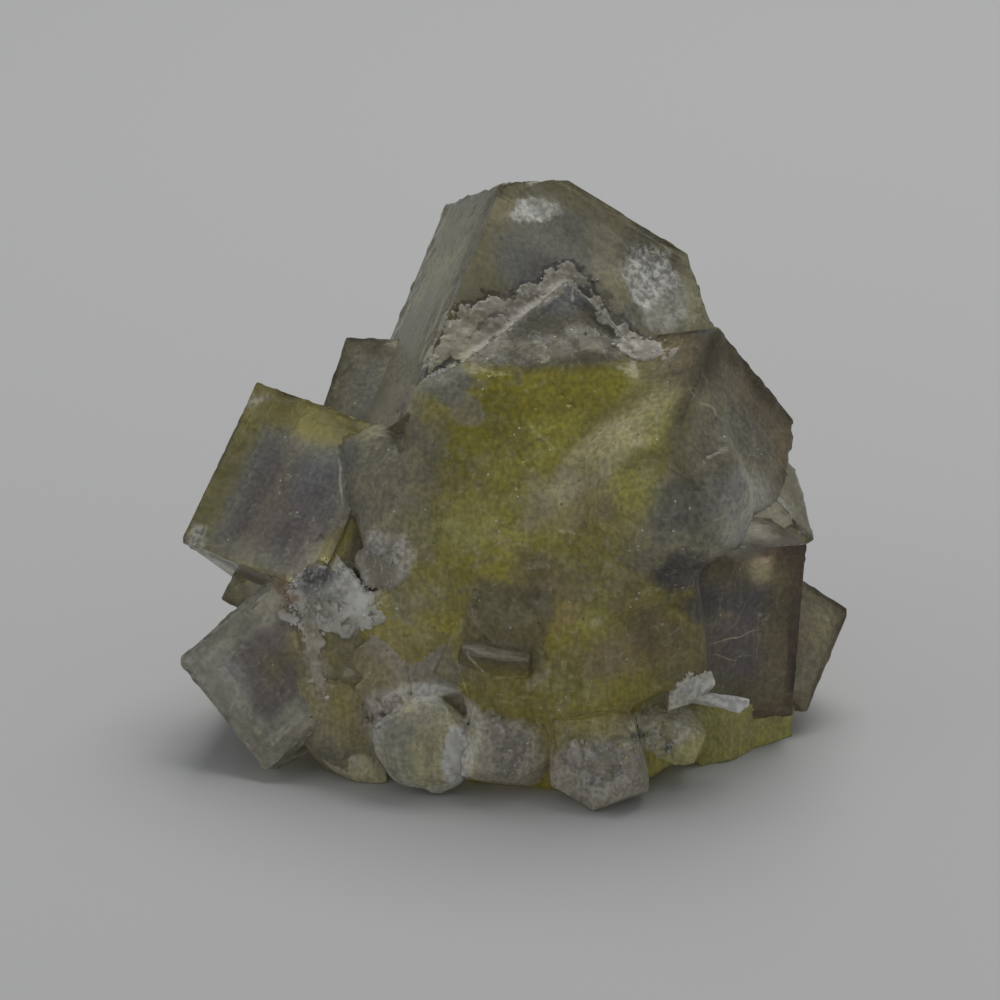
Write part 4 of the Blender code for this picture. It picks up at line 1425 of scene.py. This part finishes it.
class Nodes:
    """A short way to add and join the nodes of one material."""

    def __init__(self, name: str) -> None:
        """Start a material with a Principled shader and an output."""
        self.material = bpy.data.materials.new(name)
        self.material.use_nodes = True
        self.tree = self.material.node_tree
        self.tree.nodes.clear()
        self.output = self.tree.nodes.new("ShaderNodeOutputMaterial")
        self.shader = self.tree.nodes.new("ShaderNodeBsdfPrincipled")
        self.put(self.shader.outputs["BSDF"], self.output.inputs["Surface"])

    def put(self, value: object, target: Socket) -> None:
        """Link a socket, or set a plain value. A colour may be a tone or three numbers."""
        value = value.value if isinstance(value, Tone) else value
        if isinstance(value, Socket):
            self.tree.links.new(value, target)
        elif target.type == "RGBA":
            target.default_value = (*value, 1.0)
        else:
            target.default_value = value

    def add(self, kind: str, output: str | int, inputs: dict[str | int, object], **choices: str) -> Socket:
        """Add a node, make its choices and fill its inputs.

        Args:
            kind: the node's type, without the word ShaderNode
            output: the name or number of the wanted output
            inputs: links and plain values, by the input's name or number
            choices: the node's own settings

        Returns:
            the wanted output
        """
        node = self.tree.nodes.new(f"ShaderNode{kind}")
        for name, choice in choices.items():
            setattr(node, name, choice)
        for key, value in inputs.items():
            self.put(value, node.inputs[key])
        return node.outputs[output]

    def finish(self, inputs: dict[str, object]) -> bpy.types.Material:
        """Fill the shader's inputs and hand over the material."""
        for name, value in inputs.items():
            self.put(value, self.shader.inputs[name])
        return self.material

    def attribute(self, name: str) -> Socket:
        """Read a vector attribute of the mesh."""
        return self.add("Attribute", "Vector", {}, attribute_name=name)

    def place(self) -> Socket:
        """The place on the object, in metres."""
        return self.add("TexCoord", "Object", {})

    def noise(self, place: Socket, scale: float, detail: float, warp: float = 0.0) -> Socket:
        """Cloud-like noise between nought and one."""
        inputs = {"Vector": place, "Scale": scale, "Detail": detail, "Distortion": warp}
        return self.add("TexNoise", "Fac", inputs)

    def growth_lines(self, place: Socket, stretch: Triple) -> Socket:
        """Noise drawn out along the crystal's own axes."""
        return self.noise(self.add("Mapping", "Vector", {"Vector": place, "Scale": stretch}), 1.0, 1.0)

    def spots(self, place: Socket, scale: float, low: float, high: float) -> Socket:
        """One in small spots at the middles of random cells, and nought between them."""
        distance = self.add("TexVoronoi", "Distance", {"Vector": place, "Scale": scale})
        return self.ramp(distance, low, high, 1.0, 0.0)

    def streak(self, place: Socket, centre: Triple, reach: Triple, turn: float) -> Socket:
        """One inside a thin egg about a middle on the front, falling to nought at its reach.

        Args:
            place: where to look, in metres on the object
            centre: the middle, in mm in the tables' frame
            reach: half lengths across, away and up, in mm
            turn: degrees anticlockwise, seen from the front

        Returns:
            the egg's share at each place
        """
        inputs = {
            "Vector": place,
            "Location": [(part + shift) * MM for part, shift in zip(centre, CLUSTER_SHIFT)],
            "Rotation": (0.0, radians(-turn), 0.0),
            "Scale": [length * MM for length in reach],
        }
        egg = self.add("Mapping", "Vector", inputs, vector_type="TEXTURE")
        return self.add("TexGradient", "Fac", {"Vector": egg}, gradient_type="SPHERICAL")

    def shaken(self, place: Socket, scale: float, distance: float) -> Socket:
        """Push the places about by noise, so shapes drawn there get ragged edges."""
        push = self.add("TexNoise", "Color", {"Vector": place, "Scale": scale, "Detail": 1.0})
        middle = self.add("VectorMath", "Vector", {0: place, 1: (distance / 2,) * 3}, operation="SUBTRACT")
        inputs = {0: push, 1: (distance,) * 3, 2: middle}
        return self.add("VectorMath", "Vector", inputs, operation="MULTIPLY_ADD")

    def ramp(self, value: Socket, low: float, high: float, start: float = 0.0, end: float = 1.0) -> Socket:
        """Carry the range low..high over to start..end, smoothly."""
        inputs = {"Value": value, "From Min": low, "From Max": high, "To Min": start, "To Max": end}
        return self.add("MapRange", "Result", inputs, interpolation_type="SMOOTHSTEP")

    def math(self, operation: str, first: object, second: object = 0.0) -> Socket:
        """Join two numbers."""
        return self.add("Math", 0, {0: first, 1: second}, operation=operation)

    def times(self, first: object, second: object) -> Socket:
        """The product of two numbers."""
        return self.math("MULTIPLY", first, second)

    def blend(self, share: object, first: object, second: object, kind: str = "MIX") -> Socket:
        """Mix two colours. The node's inputs 6 and 7 and its output 2 are the coloured ones."""
        return self.add("Mix", 2, {0: share, 6: first, 7: second}, data_type="RGBA", blend_type=kind)

    def shaded(self, colour: Socket, height: Socket, low: Triple, high: Triple) -> Socket:
        """Multiply a colour by one that runs from low to high with a height from nought to one."""
        return self.blend(1.0, colour, self.blend(height, low, high), "MULTIPLY")

    def bump(self, height: Socket, distance: float, strength: float) -> Socket:
        """Turn heights into a tilt of the surface."""
        return self.add("Bump", "Normal", {"Strength": strength, "Distance": distance, "Height": height})


@dataclass(frozen=True)
class Streak:
    """A thin pale line under the surface: a crack or a healed veil, as an egg in the tables' frame."""

    centre: Triple
    reach: Triple
    turn: float
    tone: Tone = Tone.MILK
    strength: float = 0.8


STREAKS: tuple[Streak, ...] = (
    Streak((1.9, -6.6, 27.0), (2.3, 4.0, 0.32), -42, Tone.LIME),
    Streak((-13.4, -1.5, 21.8), (3.0, 3.0, 0.14), -82),
    Streak((-4.4, 8.0, 34.0), (2.4, 4.0, 0.14), 62, Tone.PALE_STRAW),
    Streak((-5.2, 8.0, 33.0), (1.6, 4.0, 0.10), 66, Tone.PALE_STRAW),
    Streak((17.2, -4.0, 9.6), (3.4, 3.0, 0.11), 12, strength=0.7),
    Streak((15.6, -8.0, 12.6), (1.6, 3.0, 0.08), 40),
    Streak((15.4, -4.0, 11.0), (2.2, 4.0, 0.06), 68, strength=0.4),
    Streak((17.4, -4.0, 11.4), (2.6, 4.0, 0.06), 54, strength=0.4),
    Streak((18.9, -4.0, 9.4), (3.8, 4.0, 0.08), 88, strength=0.45),
    Streak((16.2, -4.0, 8.0), (2.0, 4.0, 0.08), -16, strength=0.5),
    Streak((-1.8, -12.0, 6.3), (2.8, 3.0, 0.10), -12, Tone.LIME, 0.7),
    Streak((-3.9, -12.0, 9.4), (2.6, 3.0, 0.09), -72, Tone.LIME, 0.6),
    Streak((10.6, -8.0, 28.6), (2.4, 5.0, 0.10), -84, strength=0.6),
    Streak((14.3, -8.0, 29.9), (3.6, 6.0, 0.12), -48, strength=0.7),
    Streak((16.0, -9.0, 22.5), (4.0, 6.0, 0.12), 14, strength=0.6),
    Streak((15.6, -8.0, 20.0), (4.4, 6.0, 0.14), 24, strength=0.6),
    Streak((-3.0, -12.6, 11.0), (1.6, 2.0, 0.16), -56),
    Streak((-0.4, -12.6, 9.8), (1.9, 2.0, 0.12), 8, strength=0.6),
    Streak((6.0, -11.0, 19.0), (3.8, 3.0, 0.16), -30, strength=0.35),
    Streak((-1.0, -9.0, 19.4), (3.4, 3.0, 0.14), 24, strength=0.35),
)


@dataclass(frozen=True)
class FluoriteFinish:
    """Clear to milky fluorite with growth lines, cloudy mottling, veils, pin spots, bruises, and white
    specks that are partly painted glints.

    The scales of noises and cells are their number to the metre, and relief is in metres.
    """

    name: str = "fluorite_glass"
    absorption: Triple = (0.72, 0.66, 0.40)
    density: float = 30.0
    relief: float = 0.00006
    cloud_scale: float = 240.0
    wisp_scale: float = 580.0
    fine_scale: float = 2600.0
    vein_scale: float = 420.0
    pin_scale: float = 820.0
    speck_and_glint_scale: float = 1250.0
    shake_scale: float = 700.0
    shake: float = 0.0007
    coat: float = 0.18
    coat_roughness: float = 0.12
    coat_ior: float = 1.4

    def streaked(self, nodes: Nodes, place: Socket, colour: Socket) -> Socket:
        """Lay the streaks over a colour, those of one tone together."""
        for tone in dict.fromkeys(streak.tone for streak in STREAKS):
            inside: object = 0.0
            for streak in STREAKS:
                if streak.tone is tone:
                    egg = nodes.streak(place, streak.centre, streak.reach, streak.turn)
                    inside = nodes.math("MAXIMUM", inside, nodes.times(egg, streak.strength))
            colour = nodes.blend(nodes.ramp(inside, 0.04, 0.6), colour, tone)
        return colour

    def colour(self, nodes: Nodes, place: Socket, haze: Socket, noises: dict[str, Socket]) -> Socket:
        """The stone's colour: the skin's tint with clouds, wisps, veils, grain and pin spots."""
        tint = nodes.attribute("tint")
        cloud, wisp = noises["cloud"], noises["wisp"]
        clouded = nodes.shaded(tint, nodes.ramp(cloud, 0.34, 0.68), (0.76, 0.76, 0.80), (1.12, 1.08, 0.90))
        mottled = nodes.blend(haze, tint, clouded)
        share = nodes.times(nodes.ramp(wisp, 0.52, 0.74, 0.0, 0.4), haze)
        wispy = nodes.blend(share, mottled, nodes.blend(0.55, mottled, (0.66, 0.63, 0.42)))
        line = nodes.math("ABSOLUTE", nodes.math("SUBTRACT", nodes.noise(place, self.vein_scale, 2.0), 0.5))
        share = nodes.times(nodes.ramp(line, 0.0, 0.012, 0.55, 0.0), nodes.ramp(wisp, 0.45, 0.6))
        veined = nodes.blend(nodes.times(share, haze), wispy, (0.62, 0.60, 0.44))
        veined = self.streaked(nodes, nodes.shaken(place, self.shake_scale, self.shake), veined)
        lines = nodes.ramp(noises["other_lines"], 0.35, 0.65)
        striped = nodes.shaded(veined, lines, (0.86, 0.86, 0.88), (1.10, 1.10, 1.08))
        striped = nodes.blend(haze, veined, striped)
        grains = nodes.ramp(noises["fine"], 0.3, 0.7)
        grained = nodes.shaded(striped, grains, (0.80, 0.80, 0.82), (1.2, 1.2, 1.18))
        pins = nodes.spots(place, self.pin_scale, 0.06, 0.12)
        pins = nodes.times(pins, nodes.ramp(cloud, 0.52, 0.60, 0.0, 0.65))
        return nodes.blend(pins, grained, (0.05, 0.045, 0.04))

    def material(self) -> bpy.types.Material:
        """Build the material."""
        nodes = Nodes(self.name)
        place, grain = nodes.place(), nodes.attribute("grain")
        skin = nodes.attribute("skin")
        clear, haze, frost = (nodes.add("SeparateXYZ", part, {0: skin}) for part in range(3))
        noises = {
            "cloud": nodes.noise(place, self.cloud_scale, 3.0),
            "wisp": nodes.noise(place, self.wisp_scale, 3.0, 1.4),
            "fine": nodes.noise(place, self.fine_scale, 1.0),
            "lines": nodes.growth_lines(grain, (0.25, 3.2, 3.2)),
            "other_lines": nodes.growth_lines(grain, (3.0, 3.0, 0.2)),
        }
        cloud, wisp, fine = noises["cloud"], noises["wisp"], noises["fine"]

        crushed = nodes.times(frost, nodes.ramp(wisp, 0.36, 0.56, 0.4, 1.0))
        crushed = nodes.times(crushed, nodes.ramp(fine, 0.40, 0.58, 0.35, 1.0))
        # Painted glints as well as white specks: small white spots in the colour that stand partly for
        # specks in the stone and partly for sparkles of light.
        specks_and_glints = nodes.spots(place, self.speck_and_glint_scale, 0.07, 0.12)
        specks_and_glints = nodes.times(specks_and_glints, nodes.ramp(wisp, 0.50, 0.62, 0.0, 0.9))
        white = nodes.math("MAXIMUM", crushed, nodes.times(specks_and_glints, nodes.ramp(haze, 0.3, 0.7)))

        milky = nodes.times(clear, nodes.ramp(cloud, 0.35, 0.75, 1.0, 0.8))
        scatter = nodes.times(nodes.ramp(cloud, 0.3, 0.75, 0.75, 1.25), haze)
        rough = nodes.math("ADD", 0.08, nodes.times(scatter, 0.45))
        grit = nodes.times(fine, nodes.math("ADD", 0.6, nodes.times(frost, 2.5)))
        height = nodes.math("ADD", nodes.math("ADD", noises["lines"], noises["other_lines"]), grit)
        relief = nodes.bump(height, self.relief, 0.4)

        depth = {"Color": self.absorption, "Density": self.density}
        nodes.put(nodes.add("VolumeAbsorption", "Volume", depth), nodes.output.inputs["Volume"])
        return nodes.finish({
            "Base Color": nodes.blend(white, self.colour(nodes, place, haze, noises), Tone.FROST),
            "Transmission Weight": nodes.times(milky, nodes.math("SUBTRACT", 1.0, nodes.times(white, 0.9))),
            "Roughness": nodes.math("ADD", rough, nodes.times(crushed, 0.3)),
            "Coat Weight": self.coat,
            "Coat Roughness": self.coat_roughness,
            "Coat IOR": self.coat_ior,
            "Normal": relief,
            "Coat Normal": relief,
            "IOR": FLUORITE_IOR,
        })


@dataclass(frozen=True)
class DruseFinish:
    """White to pinkish sugar-like crust, dull, with dirt in its hollows."""

    name: str = "white_crust"
    hollow_scale: float = 420.0
    fine_scale: float = 2600.0
    clear: float = 0.3
    relief: float = 0.0001

    def material(self) -> bpy.types.Material:
        """Build the material."""
        nodes = Nodes(self.name)
        place, tint = nodes.place(), nodes.attribute("tint")
        fine = nodes.noise(place, self.fine_scale, 3.0)
        hollows = nodes.ramp(nodes.noise(place, self.hollow_scale, 5.0, 0.4), 0.35, 0.65)
        dirty = nodes.shaded(tint, hollows, (0.66, 0.64, 0.55), (1.05, 1.04, 1.0))
        return nodes.finish({
            "Base Color": nodes.blend(nodes.ramp(fine, 0.5, 0.7, 0.0, 0.5), dirty, (0.84, 0.83, 0.80)),
            "Roughness": nodes.ramp(fine, 0.3, 0.7, 0.3, 0.55),
            "Transmission Weight": self.clear,
            "IOR": FLUORITE_IOR,
            "Normal": nodes.bump(fine, self.relief, 0.5),
        })


@dataclass(frozen=True)
class FloorFinish:
    """A plain pale matt floor."""

    name: str = "pale_floor"
    tone: Triple = (0.52, 0.52, 0.52)
    roughness: float = 0.75
    shine: float = 0.2

    def material(self) -> bpy.types.Material:
        """Build the material."""
        inputs = {"Base Color": self.tone, "Roughness": self.roughness, "Specular IOR Level": self.shine}
        return Nodes(self.name).finish(inputs)


# ---------------- the studio


@dataclass(frozen=True)
class SoftLight:
    """A square light that faces the specimen: its place and size in metres, power and tone."""

    name: str
    place: Triple
    size: float
    power: float
    tone: Triple


LIGHTS = (
    SoftLight("overhead", (0.10, 0.24, 0.58), 0.5, 2.3, (1.0, 0.99, 0.97)),
    SoftLight("side", (-0.55, -0.25, 0.35), 0.35, 0.22, (1.0, 0.99, 0.98)),
    SoftLight("low_front", (-0.20, -0.75, 0.10), 0.3, 0.42, (1.0, 0.99, 0.98)),
)


@dataclass
class Studio:
    """The camera, the soft lights and the floor, in metres."""

    target: Triple = (-0.001443, -0.003791, 0.01958)
    distance: float = 0.320
    elevation: float = 20.0
    lens: float = 149.03
    sensor: float = 36.0
    clip_start: float = 0.01
    floor_reach: float = 3.0
    floor_drop: float = 0.00006
    world_tone: Triple = (0.93, 0.97, 1.0)
    world_strength: float = 0.28

    def camera(self) -> None:
        """Look along +Y and down onto the target."""
        data = bpy.data.cameras.new("camera")
        data.lens, data.sensor_width, data.clip_start = self.lens, self.sensor, self.clip_start
        camera = bpy.data.objects.new("camera", data)
        angle = radians(self.elevation)
        camera.location = Vector(self.target) + Vector((0.0, -cos(angle), sin(angle))) * self.distance
        camera.rotation_euler = (radians(90.0 - self.elevation), 0.0, 0.0)
        bpy.context.scene.collection.objects.link(camera)
        bpy.context.scene.camera = camera

    def light(self, plan: SoftLight) -> None:
        """Hang one light and turn it to the target."""
        data = bpy.data.lights.new(plan.name, "AREA")
        data.shape, data.size, data.energy, data.color = "SQUARE", plan.size, plan.power, plan.tone
        light = bpy.data.objects.new(plan.name, data)
        light.location = plan.place
        way = Vector(self.target) - Vector(plan.place)
        light.rotation_euler = way.to_track_quat("-Z", "Y").to_euler()
        bpy.context.scene.collection.objects.link(light)

    def floor(self) -> None:
        """Lay the floor a little under the specimen's foot."""
        reach, low = self.floor_reach, -self.floor_drop
        signs = ((-1, -1), (1, -1), (1, 1), (-1, 1))
        corners = np.array([(across * reach, away * reach, low) for across, away in signs])
        mesh = mesh_from_arrays("floor", corners, np.array([[0, 1, 2, 3]]))
        mesh.materials.append(FloorFinish().material())
        floor = bpy.data.objects.new("floor", mesh)
        bpy.context.scene.collection.objects.link(floor)
        floor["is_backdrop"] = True

    def build(self) -> None:
        """Set up everything that isn't the specimen."""
        scene = bpy.context.scene
        scene.view_settings.view_transform = "Standard"
        scene.world = bpy.data.worlds.new("soft_room")
        scene.world.use_nodes = True
        background = scene.world.node_tree.nodes["Background"]
        background.inputs["Color"].default_value = (*self.world_tone, 1.0)
        background.inputs["Strength"].default_value = self.world_strength
        self.camera()
        for plan in LIGHTS:
            self.light(plan)
        self.floor()


def main() -> None:
    """Load the frame, then build the studio, the body and the druse around it."""
    logging.basicConfig(level=logging.INFO, format="%(name)s: %(message)s")
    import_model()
    cad_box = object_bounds()
    Studio().build()
    body = FluoriteBody().build(cad_box)
    WhiteDruse().build(body, cad_box)


if __name__ == "__main__":
    main()
